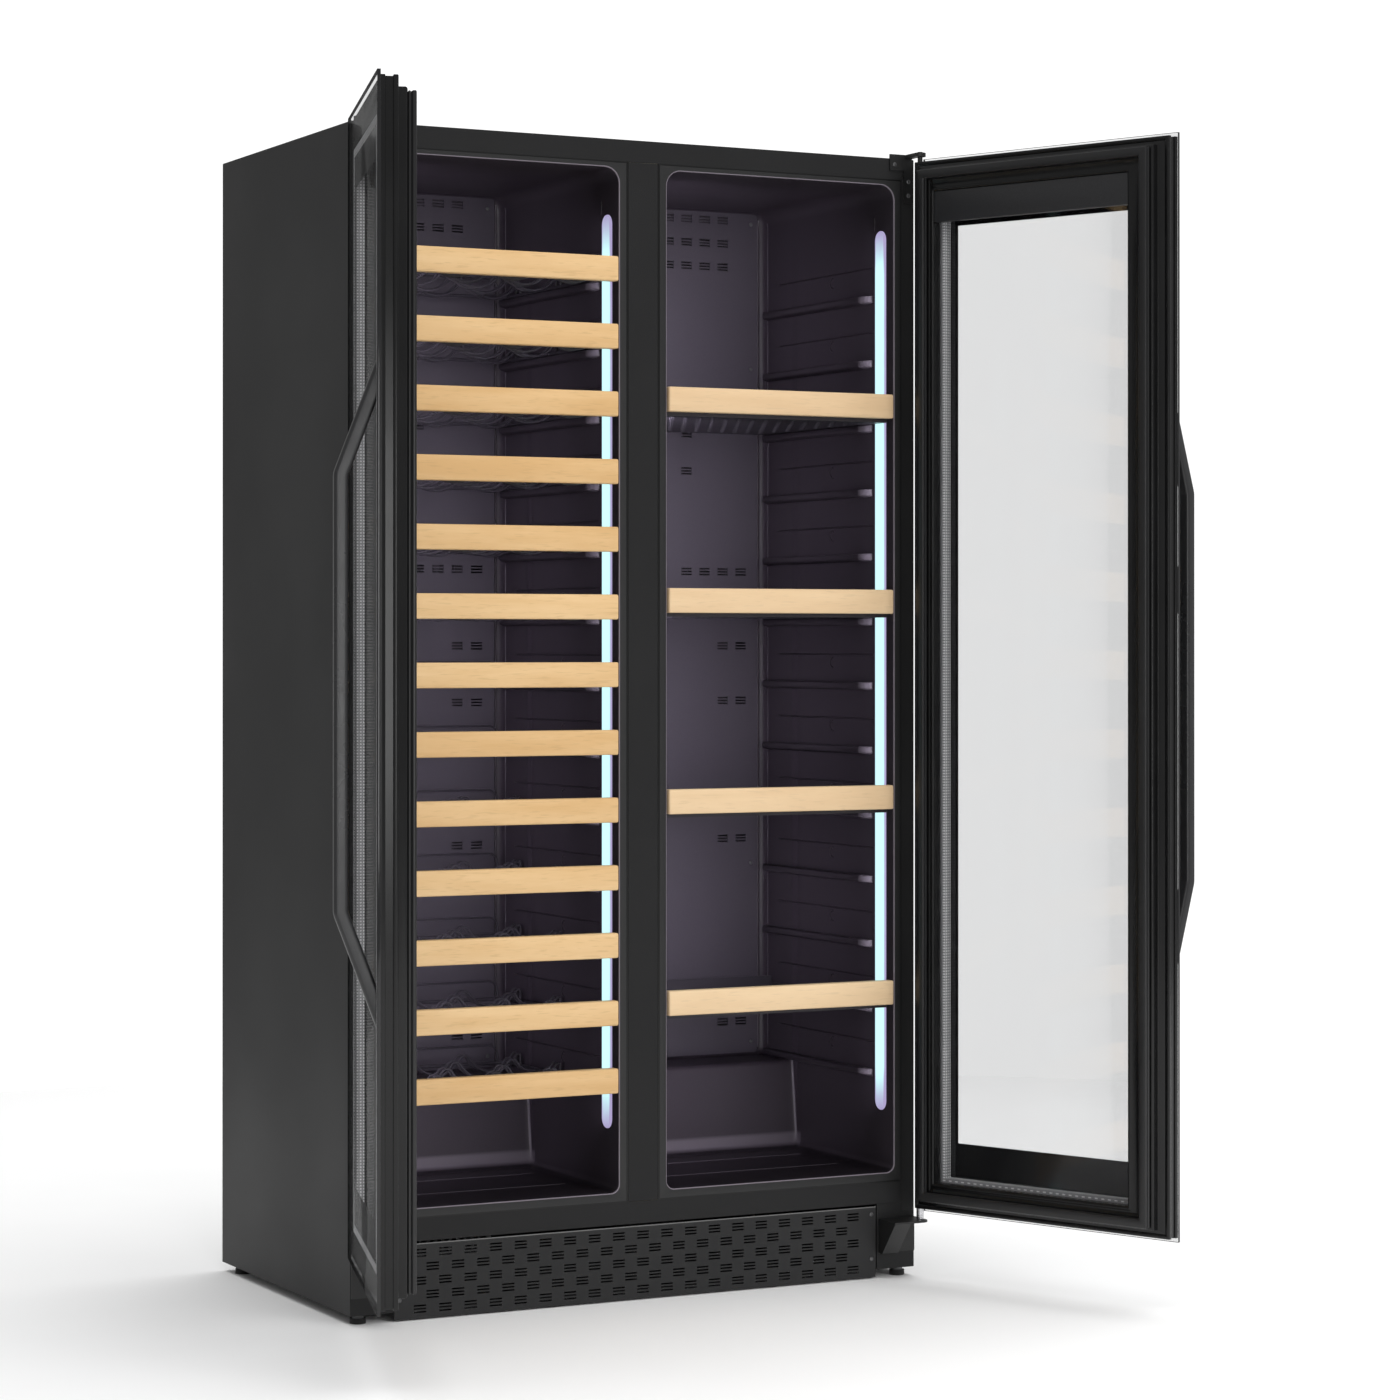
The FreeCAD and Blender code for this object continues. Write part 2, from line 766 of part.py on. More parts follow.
def cooling_unit():
    pieces = [compressor(), condenser(), evaporator(), fan_motor()]
    pieces += [mirrored(evaporator()), mirrored(fan_motor())]
    return Part.makeCompound(pieces)


# ---- Hinges ----------------------------------------------------------------------------
def lower_places():
    """Screw places on the right lower hinge."""
    x = half_width - lower_bracket_width + lower_screw_inset
    high = lower_bracket_top - lower_screw_drop
    across, down = lower_screw_pitch
    points = [(x, high - down), (x, high), (x + across, high)]
    return [Vector(place_x, -bracket_sheet, z) for place_x, z in points]


def is_shelf_corner(edge):
    """True for the lower bracket's free corner, in front of the cabinet and beyond the pin."""
    centre = edge.CenterOfMass
    return runs_along(edge, UP) and centre.y < -1 and centre.x > pivot_x


def lower_bracket():
    """Wedge-shaped bracket under the right door, with its pin and collar."""
    x = (half_width - lower_bracket_width, half_width - 1)
    top = lower_bracket_top
    sheet = bracket_sheet
    plate = box(x, (-sheet, 0), (lower_bracket_bottom, top))
    shelf = box(x, (-lower_bracket_reach, 0), (top - sheet, top))
    shelf = round_edges(shelf, lower_shelf_round, is_shelf_corner)
    slope = [
        Vector(x[0], 0, top),
        Vector(x[0], -lower_bracket_reach, top),
        Vector(x[0], -lower_bracket_foot, lower_bracket_bottom),
        Vector(x[0], 0, lower_bracket_bottom),
    ]
    gusset = outline_prism(slope, RIGHT * sheet)
    apron = [
        Vector(x[0], -lower_bracket_reach, top - sheet),
        Vector(x[0], -lower_bracket_reach + sheet, top - sheet),
        Vector(x[0], -lower_bracket_foot + sheet, lower_bracket_bottom),
        Vector(x[0], -lower_bracket_foot, lower_bracket_bottom),
    ]
    apron = outline_prism(apron, RIGHT * (lower_bracket_width * lower_apron_share))
    pin_low = Vector(pivot_x, pivot_y, top - sheet)
    frame_bottom = door_bottom + frame_end_inset
    pin = cylinder(pin_radius, frame_bottom + pin_engage - pin_low.z, pin_low, UP)
    bracket = join([plate, shelf, gusset, apron, pin])
    bracket = screw_holes(bracket, lower_places(), BACK * -1, bracket_sheet)
    collar_start = Vector(pivot_x, pivot_y, top + seat_gap)
    collar = cylinder(bushing_radius, frame_bottom - top - 2 * seat_gap, collar_start, UP)
    collar = collar.cut(cylinder(pin_radius + pin_fit, frame_bottom, Vector(pivot_x, pivot_y, 0), UP))
    return [bracket, collar]


def upper_places():
    """Screw places on the right upper hinge."""
    face = -bracket_sheet
    leg_x = half_width - upper_inset - upper_leg_width / 2
    tab_x = half_width - upper_inset - upper_tab_width + upper_tab_screw
    high = case_height - upper_tab_height / 2
    low = case_height - upper_leg_height + upper_screw_low
    points = [(leg_x, low), (leg_x, low + upper_screw_pitch), (tab_x, high)]
    return [Vector(x, face, z) for x, z in points]


def upper_bracket():
    """Arm over the right door, folded down onto the cabinet front, with its pin."""
    outer = half_width - upper_inset
    arm_z = (case_height + upper_arm_gap, case_height + upper_arm_gap + upper_arm_thickness)
    sheet = (-bracket_sheet, 0)
    leg = box((outer - upper_leg_width, outer), sheet, (case_height - upper_leg_height, arm_z[1]))
    tab = box((outer - upper_tab_width, outer), sheet, (case_height - upper_tab_height, arm_z[1]))
    arm_x = (pivot_x - upper_arm_round, outer)
    arm = box(arm_x, (pivot_y, 0), arm_z)
    nose = cylinder(upper_arm_round, upper_arm_thickness, Vector(pivot_x, pivot_y, arm_z[0]), UP)
    frame_top = door_top - frame_end_inset
    pin_low = frame_top - pin_engage
    pin_length = arm_z[1] + upper_pin_head - pin_low
    pin = cylinder(pin_radius, pin_length, Vector(pivot_x, pivot_y, pin_low), UP)
    bracket = join([leg, tab, arm, nose, pin])
    return screw_holes(bracket, upper_places(), BACK * -1, bracket_sheet)


def hinge_brackets():
    right = lower_bracket() + [upper_bracket()]
    return Part.makeCompound(right + [mirrored(piece) for piece in right])


def grille_places():
    """Screw places at the ends of the toe grille."""
    top = lower_rail_bottom - grille_top_gap - grille_screw_drop
    x = grille_half - grille_screw_inset
    levels = (top, top - grille_screw_pitch)
    return [Vector(sign * x, 0, z) for sign in (-1, 1) for z in levels]


def toe_grille():
    """Vented plinth grille between the lower hinges."""
    z = (grille_bottom, lower_rail_bottom - grille_top_gap)
    grille = box((-grille_half, grille_half), (0, grille_sheet), z)
    cutters = []
    for row in range(grille_rows):
        columns = grille_columns - row % 2
        level = (z[0] + z[1]) / 2 + (row - (grille_rows - 1) / 2) * grille_pitch_z
        for column in range(columns):
            x = (column - (columns - 1) / 2) * grille_pitch_x
            cutters += slot_group(x, level, (-1, grille_sheet + 1))
    grille = grille.cut(Part.makeCompound(cutters))
    return screw_holes(grille, grille_places(), BACK * -1, grille_sheet)


def screws():
    """Every screw that shows, as separate pieces."""
    forward = BACK * -1
    right = [screw(place, forward, cover_sheet) for place in cover_places()]
    right += [screw(place, forward, bracket_sheet) for place in lower_places() + upper_places()]
    pieces = right + [mirrored(piece) for piece in right]
    pieces += [screw(place, forward, grille_sheet) for place in grille_places()]
    pieces += [screw(place, BACK, back_sheet) for place in back_places()]
    return Part.makeCompound(pieces)


# ---- Doors, built closed on the right --------------------------------------------------
def window(grow):
    """X and Z limits of the glazed opening, larger by a margin."""
    x = (door_in + window_free - grow, door_out - window_hinge + grow)
    z = (door_bottom + window_bottom - grow, door_top - window_top + grow)
    return x, z


def door_panes():
    """Full-size outer pane and the smaller inner pane."""
    glass_x = (door_in, door_out)
    glass_z = (door_bottom, door_top)
    outer = rounded_block(glass_x, (door_face, glass_back), glass_z, BACK, glass_corner)
    x, z = window(glass_bite)
    inner = box(x, (frame_back - retainer - inner_glass, frame_back - retainer), z)
    return Part.makeCompound([outer, inner])


def door_frame():
    """Frame behind the glass, seal carrier, header bar and pane spacer."""
    x = (door_in + door_side_inset, door_out - door_side_inset)
    z = (door_bottom + frame_end_inset, door_top - frame_end_inset)
    frame = box(x, (glass_back, frame_back), z)
    hole_x, hole_z = window(0)
    frame = frame.cut(box(hole_x, (glass_back - 1, frame_back + 1), hole_z))
    seat_x, seat_z = window(glass_bite + pane_clearance)
    frame = frame.cut(box(seat_x, (glass_back - 1, frame_back - retainer), seat_z))
    groove_y = (glass_back + groove_from_glass, glass_back + groove_from_glass + edge_groove[0])
    deep = edge_groove[1]
    inside = box((x[0] + deep, x[1] - deep), groove_y, (z[0] + deep, z[1] - deep))
    frame = frame.cut(box((x[0] - 1, x[1] + 1), groove_y, (z[0] - 1, z[1] + 1)).cut(inside))
    for low in (z[0] - 1, z[1] - pin_engage - 1):
        hole = cylinder(pin_radius + pin_fit, pin_engage + 2, Vector(pivot_x, pivot_y, low), UP)
        frame = frame.cut(hole)
    carrier_x = (door_in + carrier_inset, door_out - carrier_inset)
    carrier_z = (door_bottom + carrier_inset, door_top - carrier_inset)
    carrier = box(carrier_x, (frame_back, carrier_back), carrier_z)
    carrier = carrier.cut(box(hole_x, (frame_back - 1, carrier_back + 1), hole_z))
    header_y = (carrier_back + header_set_in - header_thickness, carrier_back - header_set_in)
    header = box(hole_x, header_y, (hole_z[1] - header_height, hole_z[1]))
    spacer_y = (glass_back, frame_back - retainer - inner_glass)
    outer_x, outer_z = window(glass_bite)
    spacer = box(outer_x, spacer_y, outer_z)
    inner_x, inner_z = window(-glass_bite)
    spacer = spacer.cut(box(inner_x, (spacer_y[0] - 1, spacer_y[1] + 1), inner_z))
    return Part.makeCompound([frame, carrier, header, spacer])


def door_gasket():
    """Magnetic seal ring on the carrier, with a bellows groove."""
    x = (door_in + gasket_inset, door_out - gasket_inset)
    z = (door_bottom + gasket_inset, door_top - gasket_inset)
    seal = ring(x, z, (carrier_back, gasket_back), [gasket_width] * 4)
    middle = (carrier_back + gasket_back) / 2
    band = box((x[0] - 1, x[1] + 1), (middle - 1.5, middle + 1.5), (z[0] - 1, z[1] + 1))
    kept = box((x[0] + 3, x[1] - 3), (middle - 2, middle + 2), (z[0] + 3, z[1] - 3))
    return seal.cut(band.cut(kept))


def door_handle():
    """Bow handle whose sloping ends stand on the glass."""
    outer_y = door_face - handle_standoff
    inner_y = outer_y + handle_thickness
    low = handle_bottom
    high = handle_bottom + handle_length
    foot = handle_thickness * (handle_standoff**2 + handle_slope**2) ** 0.5 / handle_standoff
    lift = handle_slope * (door_face - inner_y) / handle_standoff + foot
    x = door_in + handle_from_edge - handle_width / 2
    points = [
        Vector(x, door_face, low),
        Vector(x, outer_y, low + handle_slope),
        Vector(x, outer_y, high - handle_slope),
        Vector(x, door_face, high),
        Vector(x, door_face, high - foot),
        Vector(x, inner_y, high - lift),
        Vector(x, inner_y, low + lift),
        Vector(x, door_face, low + foot),
    ]
    bar = outline_prism(points, RIGHT * handle_width)
    bar = round_edges(bar, handle_outer_bend, lambda edge: is_bend(edge, outer_y))
    bar = round_edges(bar, handle_inner_bend, lambda edge: is_bend(edge, inner_y))
    return round_edges(bar, handle_round, lambda edge: is_long_edge(edge, x))


def is_bend(edge, y):
    """True for the handle's edges across it at one depth, where it bends."""
    return runs_along(edge, RIGHT) and abs(edge.CenterOfMass.y - y) < 1


def is_long_edge(edge, x):
    """True for the handle's edges that run its length."""
    bounds = edge.BoundBox
    at_side = abs(bounds.XMin - x) < 0.01 or abs(bounds.XMin - x - handle_width) < 0.01
    return bounds.XLength < 0.01 and at_side and bounds.YMin < door_face - 0.01


def control_panel():
    """Touch control block on the right door's face."""
    x = (door_in + panel_from_edge, door_in + panel_from_edge + panel_width)
    y = (door_face - panel_thickness, door_face)
    block = rounded_block(x, y, (panel_bottom, panel_bottom + panel_height), BACK, panel_corner)
    front = door_face - panel_thickness + 0.01
    return round_edges(block, panel_round, lambda edge: edge.BoundBox.YMax < front)


def opened_right(shape):
    shape.rotate(Vector(pivot_x, pivot_y, 0), UP, right_open_angle)
    return shape


def opened_left(shape):
    shape = mirrored(shape)
    shape.rotate(Vector(-pivot_x, pivot_y, 0), UP, -left_open_angle)
    return shape


# ---- Racks and shelves, built about x = 0 with the rib's top at z = 0 -------------------
board_half = (zone_out - zone_in) / 2 - board_side_gap
board_back = board_thickness - board_proud
runner_half = (zone_out - zone_in) / 2 - runner_inset
runner_z = runner_radius + seat_gap
rear_y = cover_front - runner_back_gap


def front_board():
    """Wooden front with softened edges."""
    z = (-board_drop, board_height - board_drop)
    return rounded_block((-board_half, board_half), (-board_proud, board_back), z, RIGHT, board_round)


def runner_wire():
    """Side runners and rear bar in one bent wire."""
    radius = runner_corner
    z = runner_z
    turn = radius * (1 - 0.5**0.5)
    left = [Vector(-runner_half, board_back, z), Vector(-runner_half, rear_y - radius, z)]
    right = [Vector(runner_half, rear_y - radius, z), Vector(runner_half, board_back, z)]
    rear = [Vector(-runner_half + radius, rear_y, z), Vector(runner_half - radius, rear_y, z)]
    edges = [
        line(left[0], left[1]),
        arc(left[1], Vector(-runner_half + turn, rear_y - turn, z), rear[0]),
        line(rear[0], rear[1]),
        arc(rear[1], Vector(runner_half - turn, rear_y - turn, z), right[0]),
        line(right[0], right[1]),
    ]
    return sweep(edges, runner_radius)


def guard_wire():
    """Raised bar that stops bottles at the back."""
    half = runner_half - guard_inset
    radius = guard_inset
    top = guard_height - wave_radius
    turn = radius * (1 - 0.5**0.5)
    edges = [
        line(Vector(-half, rear_y, runner_z), Vector(-half, rear_y, top - radius)),
        arc(
            Vector(-half, rear_y, top - radius),
            Vector(-half + turn, rear_y, top - turn),
            Vector(-half + radius, rear_y, top),
        ),
        line(Vector(-half + radius, rear_y, top), Vector(half - radius, rear_y, top)),
        arc(
            Vector(half - radius, rear_y, top),
            Vector(half - turn, rear_y, top - turn),
            Vector(half, rear_y, top - radius),
        ),
        line(Vector(half, rear_y, top - radius), Vector(half, rear_y, runner_z)),
    ]
    return sweep(edges, wave_radius)


cup_pitch = 2 * runner_half / cups_across
curve_sum = ((cup_pitch / 2) ** 2 + cup_depth**2) / (2 * cup_depth)
cup_radius = curve_sum - crest_radius
wave_slope = asin(cup_pitch / 2 / curve_sum)
crest_z = cup_depth - cup_low
joint_z = -cup_low + cup_radius * (1 - cos(wave_slope))


def crest(x, y, side):
    """Top of one wave: both halves, or only the half on one side of its middle."""
    reach = crest_radius * sin(wave_slope)
    left = Vector(x - reach, y, joint_z)
    right = Vector(x + reach, y, joint_z)
    top = Vector(x, y, crest_z)
    if side == 0:
        return arc(left, top, right)
    lean = sin(wave_slope / 2)
    drop = crest_radius * (1 - cos(wave_slope / 2))
    middle = Vector(x + side * crest_radius * lean, y, crest_z - drop)
    return arc(top, middle, right) if side > 0 else arc(left, middle, top)


def cup(x, y):
    """Bottle cup between two crests."""
    reach = cup_radius * sin(wave_slope)
    return arc(Vector(x - reach, y, joint_z), Vector(x, y, -cup_low), Vector(x + reach, y, joint_z))


def full_wave(y):
    """Wire with a cup for each bottle, standing on the runners at both ends."""
    first = -runner_half
    edges = [crest(first, y, 1)]
    for number in range(cups_across):
        edges.append(cup(first + cup_pitch * (number + 0.5), y))
        if number < cups_across - 1:
            edges.append(crest(first + cup_pitch * (number + 1), y, 0))
    edges.append(crest(runner_half, y, -1))
    rise = crest_z - runner_z + wave_radius
    ends = (first, runner_half)
    posts = [cylinder(wave_radius, rise, Vector(x, y, runner_z), UP) for x in ends]
    return [sweep(edges, wave_radius)] + posts


def offset_wave(y):
    """Wire whose cups lie between those of the full wave, ending level on the runners."""
    first = -runner_half + cup_pitch / 2
    drop = joint_z - runner_z
    radius = drop / (1 - cos(wave_slope))
    run = radius * sin(wave_slope)
    crest_reach = crest_radius * sin(wave_slope)
    half_run = radius * sin(wave_slope / 2)
    half_drop = radius * (1 - cos(wave_slope / 2))
    start_x = first - crest_reach
    edges = [line(Vector(-runner_half, y, runner_z), Vector(start_x - run, y, runner_z))]
    edges.append(
        arc(
            Vector(start_x - run, y, runner_z),
            Vector(start_x - run + half_run, y, runner_z + half_drop),
            Vector(start_x, y, joint_z),
        )
    )
    for number in range(cups_across):
        edges.append(crest(first + cup_pitch * number, y, 0))
        if number < cups_across - 1:
            edges.append(cup(first + cup_pitch * (number + 0.5), y))
    end_x = -start_x
    edges.append(
        arc(
            Vector(end_x, y, joint_z),
            Vector(end_x + run - half_run, y, runner_z + half_drop),
            Vector(end_x + run, y, runner_z),
        )
    )
    edges.append(line(Vector(end_x + run, y, runner_z), Vector(runner_half, y, runner_z)))
    return [sweep(edges, wave_radius)]


def wave_places():
    """Y of each wave wire with the number of its pair."""
    last = rear_y - wave_last_gap
    step = (last - wave_first) / (wave_pairs - 1)
    places = []
    for pair in range(wave_pairs):
        middle = wave_first + step * pair
        places += [(middle - wave_pair_gap / 2, pair), (middle + wave_pair_gap / 2, pair)]
    return places


def wire_rack():
    """Welded wire rack: runners, rear guard and the pairs of wave wires."""
    pieces = [guard_wire()]
    for y, pair in wave_places():
        pieces += full_wave(y) if pair % 2 == 0 else offset_wave(y)
    return runner_wire().multiFuse(pieces)


def shelf_tray():
    """Perforated shelf with turned-up edges."""
    half = (zone_out - zone_in) / 2 - tray_side_gap
    floor = (seat_gap, seat_gap + tray_sheet)
    depth = (board_back, rear_y + runner_radius)
    tray = box((-half, half), depth, floor)
    side = box((half - tray_sheet, half), depth, (floor[0], floor[0] + tray_edge))
    rear = box((-half, half), (depth[1] - tray_sheet, depth[1]), (floor[0], floor[0] + tray_guard))
    front = box((-half, half), (depth[0], depth[0] + tray_sheet), (floor[0], floor[0] + tray_front))
    tray = join([tray, side, mirrored(side), rear, front])
    columns = int((2 * half - 2 * tray_margin) // tray_hole_pitch) + 1
    rows = int((depth[1] - depth[0] - 2 * tray_margin) // tray_hole_pitch) + 1
    holes = []
    for row in range(rows):
        y = (depth[0] + depth[1]) / 2 + (row - (rows - 1) / 2) * tray_hole_pitch
        for column in range(columns - row % 2):
            x = (column - (columns - row % 2 - 1) / 2) * tray_hole_pitch
            holes.append(cylinder(tray_hole_radius, 4 * tray_sheet, Vector(x, y, -tray_sheet), UP))
    return tray.cut(Part.makeCompound(holes))


def placed(shape, x, z):
    """Copy of a rack or shelf piece at its place."""
    copy = shape.copy()
    copy.translate(Vector(x, 0, z))
    return copy


def export(name, shape):
    shape.exportStep("parts/" + name + ".step")
    print(name, "solids", len(shape.Solids), "volume", round(shape.Volume), "valid", shape.isValid())


def main():
    os.makedirs("parts", exist_ok=True)
    right_liner = liner()
    right_cover = duct_cover()
    right_light = light_strip()
    inner_light = right_light.mirror(Vector(zone_mid, 0, 0), RIGHT)
    lights = [right_light, inner_light, mirrored(right_light), mirrored(inner_light)]
    export("outer_casing", outer_casing())
    export("back_panel", back_panel())
    export("base_tray", base_tray())
    export("insulation", insulation())
    export("front_frame", front_frame())
    export("liner_right", right_liner)
    export("liner_left", mirrored(right_liner))
    export("duct_cover_right", right_cover)
    export("duct_cover_left", mirrored(right_cover))
    export("light_strips", Part.makeCompound(lights))
    export("toe_grille", toe_grille())
    export("hinge_brackets", hinge_brackets())
    export("levelling_feet", levelling_feet())
    export("screws", screws())
    export("cooling_unit", cooling_unit())
    export("fan_right", fan_wheel())
    export("fan_left", mirrored(fan_wheel()))
    for make in (door_panes, door_frame, door_gasket, door_handle):
        name = make.__name__.replace("door_", "")
        export("right_door_" + name, opened_right(make()))
        export("left_door_" + name, opened_left(make()))
    export("control_panel", opened_right(control_panel()))
    rack = wire_rack()
    board = front_board()
    tray = shelf_tray()
    levels = rib_tops()
    for number, level in enumerate(levels, 1):
        export("wine_rack_%02d" % number, placed(rack, -zone_mid, level))
        export("wine_rack_front_%02d" % number, placed(board, -zone_mid, level))
    for number, on_rib in enumerate(shelf_on_rib, 1):
        level = levels[on_rib - 1]
        export("shelf_%02d" % number, placed(tray, zone_mid, level))
        export("shelf_front_%02d" % number, placed(board, zone_mid, level + shelf_board_raise))


main()
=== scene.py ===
"""Looks for a free-standing two-door, two-zone wine cooler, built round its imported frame."""

import json
from math import acos, asin, cos, pi, radians, sin, sqrt, tan

import bmesh
import bpy
from bpy.props import FloatProperty, FloatVectorProperty, IntProperty, PointerProperty
from bpy.types import Operator, Panel, PropertyGroup
from mathutils import Matrix, Vector


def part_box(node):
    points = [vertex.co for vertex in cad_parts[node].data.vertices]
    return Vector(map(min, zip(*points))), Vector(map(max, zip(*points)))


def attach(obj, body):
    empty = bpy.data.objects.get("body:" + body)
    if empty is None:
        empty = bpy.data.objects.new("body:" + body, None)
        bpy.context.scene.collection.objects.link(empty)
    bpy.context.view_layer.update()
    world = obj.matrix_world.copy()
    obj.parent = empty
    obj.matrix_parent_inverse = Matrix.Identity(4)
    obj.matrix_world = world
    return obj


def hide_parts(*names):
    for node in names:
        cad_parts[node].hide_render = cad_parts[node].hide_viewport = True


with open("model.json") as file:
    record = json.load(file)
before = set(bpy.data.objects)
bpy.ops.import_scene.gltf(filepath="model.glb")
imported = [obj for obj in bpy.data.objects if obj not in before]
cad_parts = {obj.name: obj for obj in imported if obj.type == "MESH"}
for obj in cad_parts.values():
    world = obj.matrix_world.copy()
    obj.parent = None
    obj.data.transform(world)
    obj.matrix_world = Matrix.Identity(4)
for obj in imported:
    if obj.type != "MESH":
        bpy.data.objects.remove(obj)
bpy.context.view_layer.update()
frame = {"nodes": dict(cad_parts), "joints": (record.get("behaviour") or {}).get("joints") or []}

bl_info = {
    "name": "Wine Cooler",
    "version": (1, 0, 0),
    "blender": (4, 5, 0),
    "location": "3D View > Sidebar > Wine Cooler",
    "description": "Builds the visible pieces and finishes of a two-door wine cooler",
    "category": "Add Mesh",
}

# ------------------------------------------------------------------ settings


def size(name, description, default):
    return FloatProperty(
        name=name, description=description, default=default, unit="LENGTH", precision=4
    )


def colour(name, description, default):
    return FloatVectorProperty(
        name=name, description=description, default=default, subtype="COLOR", size=3, max=1.0
    )


def power(name, description, default):
    return FloatProperty(name=name, description=description, default=default, unit="POWER")


def share(name, description, default):
    return FloatProperty(name=name, description=description, default=default, subtype="FACTOR")


class CoolerFinishes(PropertyGroup):
    """Colours of the cooler's materials."""

    coat: colour("Powder coat", "Textured black coat of the casing and frame", (0.0170, 0.0170, 0.0174))
    moulding: colour("Moulded liner", "Dark plastic inside the cabinet", (0.026, 0.0208, 0.0265))
    duct: colour("Duct cover", "Painted metal behind the shelves", (0.060, 0.0525, 0.0640))
    door: colour("Door plastic", "Black plastic of the door frames", (0.0040, 0.0040, 0.0042))
    seal: colour("Door seal", "Rubber round the doors", (0.009, 0.009, 0.0095))
    beech_light: colour("Beech, light", "Pale wood between the growth lines", (0.75, 0.52, 0.275))
    beech_dark: colour("Beech, dark", "Growth lines of the wood", (0.62, 0.385, 0.170))
    wire: colour("Wire coating", "Coating of the racks and shelves", (0.024, 0.021, 0.026))
    glow: colour("Light", "Middle of the light strips", (0.60, 1.0, 0.98))
    glow_edge: colour("Light, rim", "Rim and ends of the light strips", (0.50, 0.42, 0.72))


class CoolerWires(PropertyGroup):
    """Sizes of the wire racks."""

    runner: size("Runner", "Radius of the outer bent wire", 0.003)
    wave: size("Wave", "Radius of the waved wires", 0.002)
    cup_depth: size("Cup depth", "Height of a wave from cup to crest", 0.027)
    crest: size("Crest", "Radius of a wave's crest", 0.010)
    pair_gap: size("Pair gap", "Distance between the two wires of a pair", 0.016)
    cups: IntProperty(name="Cups", description="Bottle cups across a rack", default=4)
    pairs: IntProperty(name="Pairs", description="Pairs of waved wires in a rack", default=5)


class CoolerLiner(PropertyGroup):
    """Sizes of the moulded liners."""

    top_corner: size("Top corners", "Corner radius at the top of the opening", 0.024)
    bottom_corner: size("Bottom corners", "Corner radius at the foot of the opening", 0.013)
    back_cove: size("Back cove", "Radius between the walls and the back", 0.012)
    foot_cove: size("Foot cove", "Radius at the foot of the step", 0.019)
    step_round: size("Step edge", "Radius along the step's top edge", 0.009)
    wall: size("Wall", "Thickness of the moulding", 0.002)
    rib_reach: size("Rib reach", "How far a rib stands out from the wall", 0.014)
    rib_height: size("Rib height", "Thickness of a rib", 0.010)


class CoolerDoors(PropertyGroup):
    """Sizes of the doors."""

    seal_width: size("Seal width", "Width of the magnetic seal", 0.014)
    groove: size("Edge groove", "Depth of the groove round a door's edge", 0.002)
    handle_width: size("Handle width", "Width of the bow handle", 0.018)
    handle_round: size("Handle round", "Radius along the handle's edges", 0.005)
    board_round: size("Board round", "Radius along the edges of the wooden fronts", 0.0025)


class CoolerStudio(PropertyGroup):
    """Camera and lights."""

    lens: FloatProperty(name="Lens", description="Focal length", default=94.49, unit="CAMERA")
    place: FloatVectorProperty(
        name="Camera",
        description="Where the camera stands",
        default=(-2.5016, -5.0261, 1.0003),
        subtype="TRANSLATION",
    )
    turn: FloatVectorProperty(
        name="Turn",
        description="How the camera is turned",
        default=(pi / 2 + 0.0023, 0.0, -0.4773),
        subtype="EULER",
    )
    rise: FloatProperty(name="Rise", description="Upward shift of the view", default=-0.0456)
    surround: share("Surround", "Brightness of the studio's walls", 0.40)
    backdrop: share("Backdrop", "Brightness of the backdrop behind the cooler", 1.12)
    overhead: power("Overhead", "Power of the overhead light", 345.0)
    front: power("Front", "Power of the front light", 140.0)
    edge: power("Edge", "Power of the tall light seen in the doors' edges", 45.0)
    strips: share("Light strips", "Brightness of the cabinet's light strips", 1.12)
    cabinet: power("Cabinet light", "Power of each left-hand strip", 7.5)
    far_side: share("Far side", "Share of that power in a right-hand strip", 0.12)


GROUPS = {
    "finishes": CoolerFinishes,
    "wires": CoolerWires,
    "liner": CoolerLiner,
    "doors": CoolerDoors,
    "studio": CoolerStudio,
}


def settings(group):
    """One group of the scene's cooler settings."""
    return getattr(bpy.context.scene, "cooler_" + group)


# ------------------------------------------------------------------ finishes


class Value:
    """A socket of a shader tree that can be used in sums."""

    def __init__(self, finish, socket):
        self.finish = finish
        self.socket = socket

    def sum(self, operation, first, second=0.0, third=0.0):
        return self.finish.node("ShaderNodeMath", {"operation": operation}, {0: first, 1: second, 2: third})

    def __add__(self, other):
        return self.sum("ADD", self, other)

    def __sub__(self, other):
        return self.sum("SUBTRACT", self, other)

    def __mul__(self, other):
        return self.sum("MULTIPLY", self, other)

    def __truediv__(self, other):
        return self.sum("DIVIDE", self, other)

    def __rsub__(self, other):
        return self.sum("SUBTRACT", other, self)

    __radd__ = __add__
    __rmul__ = __mul__

    def size(self):
        return self.sum("ABSOLUTE", self)

    def root(self):
        return self.sum("SQRT", self)

    def sine(self):
        return self.sum("SINE", self)

    def under(self, limit):
        return self.sum("LESS_THAN", self, limit)

    def over(self, limit):
        return self.sum("GREATER_THAN", self, limit)

    def either(self, other):
        return self.sum("MAXIMUM", self, other)

    def near(self, place, core, edge):
        """1 within core of a place, falling to 0 at edge."""
        return (self - place).size().ramp(core, edge, 0.0, 1.0)

    def ramp(self, low, high, end=1.0, start=0.0):
        """Runs from start to end while this value runs from low to high."""
        return self.finish.node(
            "ShaderNodeMapRange", {"clamp": True}, {"Value": self, 1: low, 2: high, 3: start, 4: end}
        )


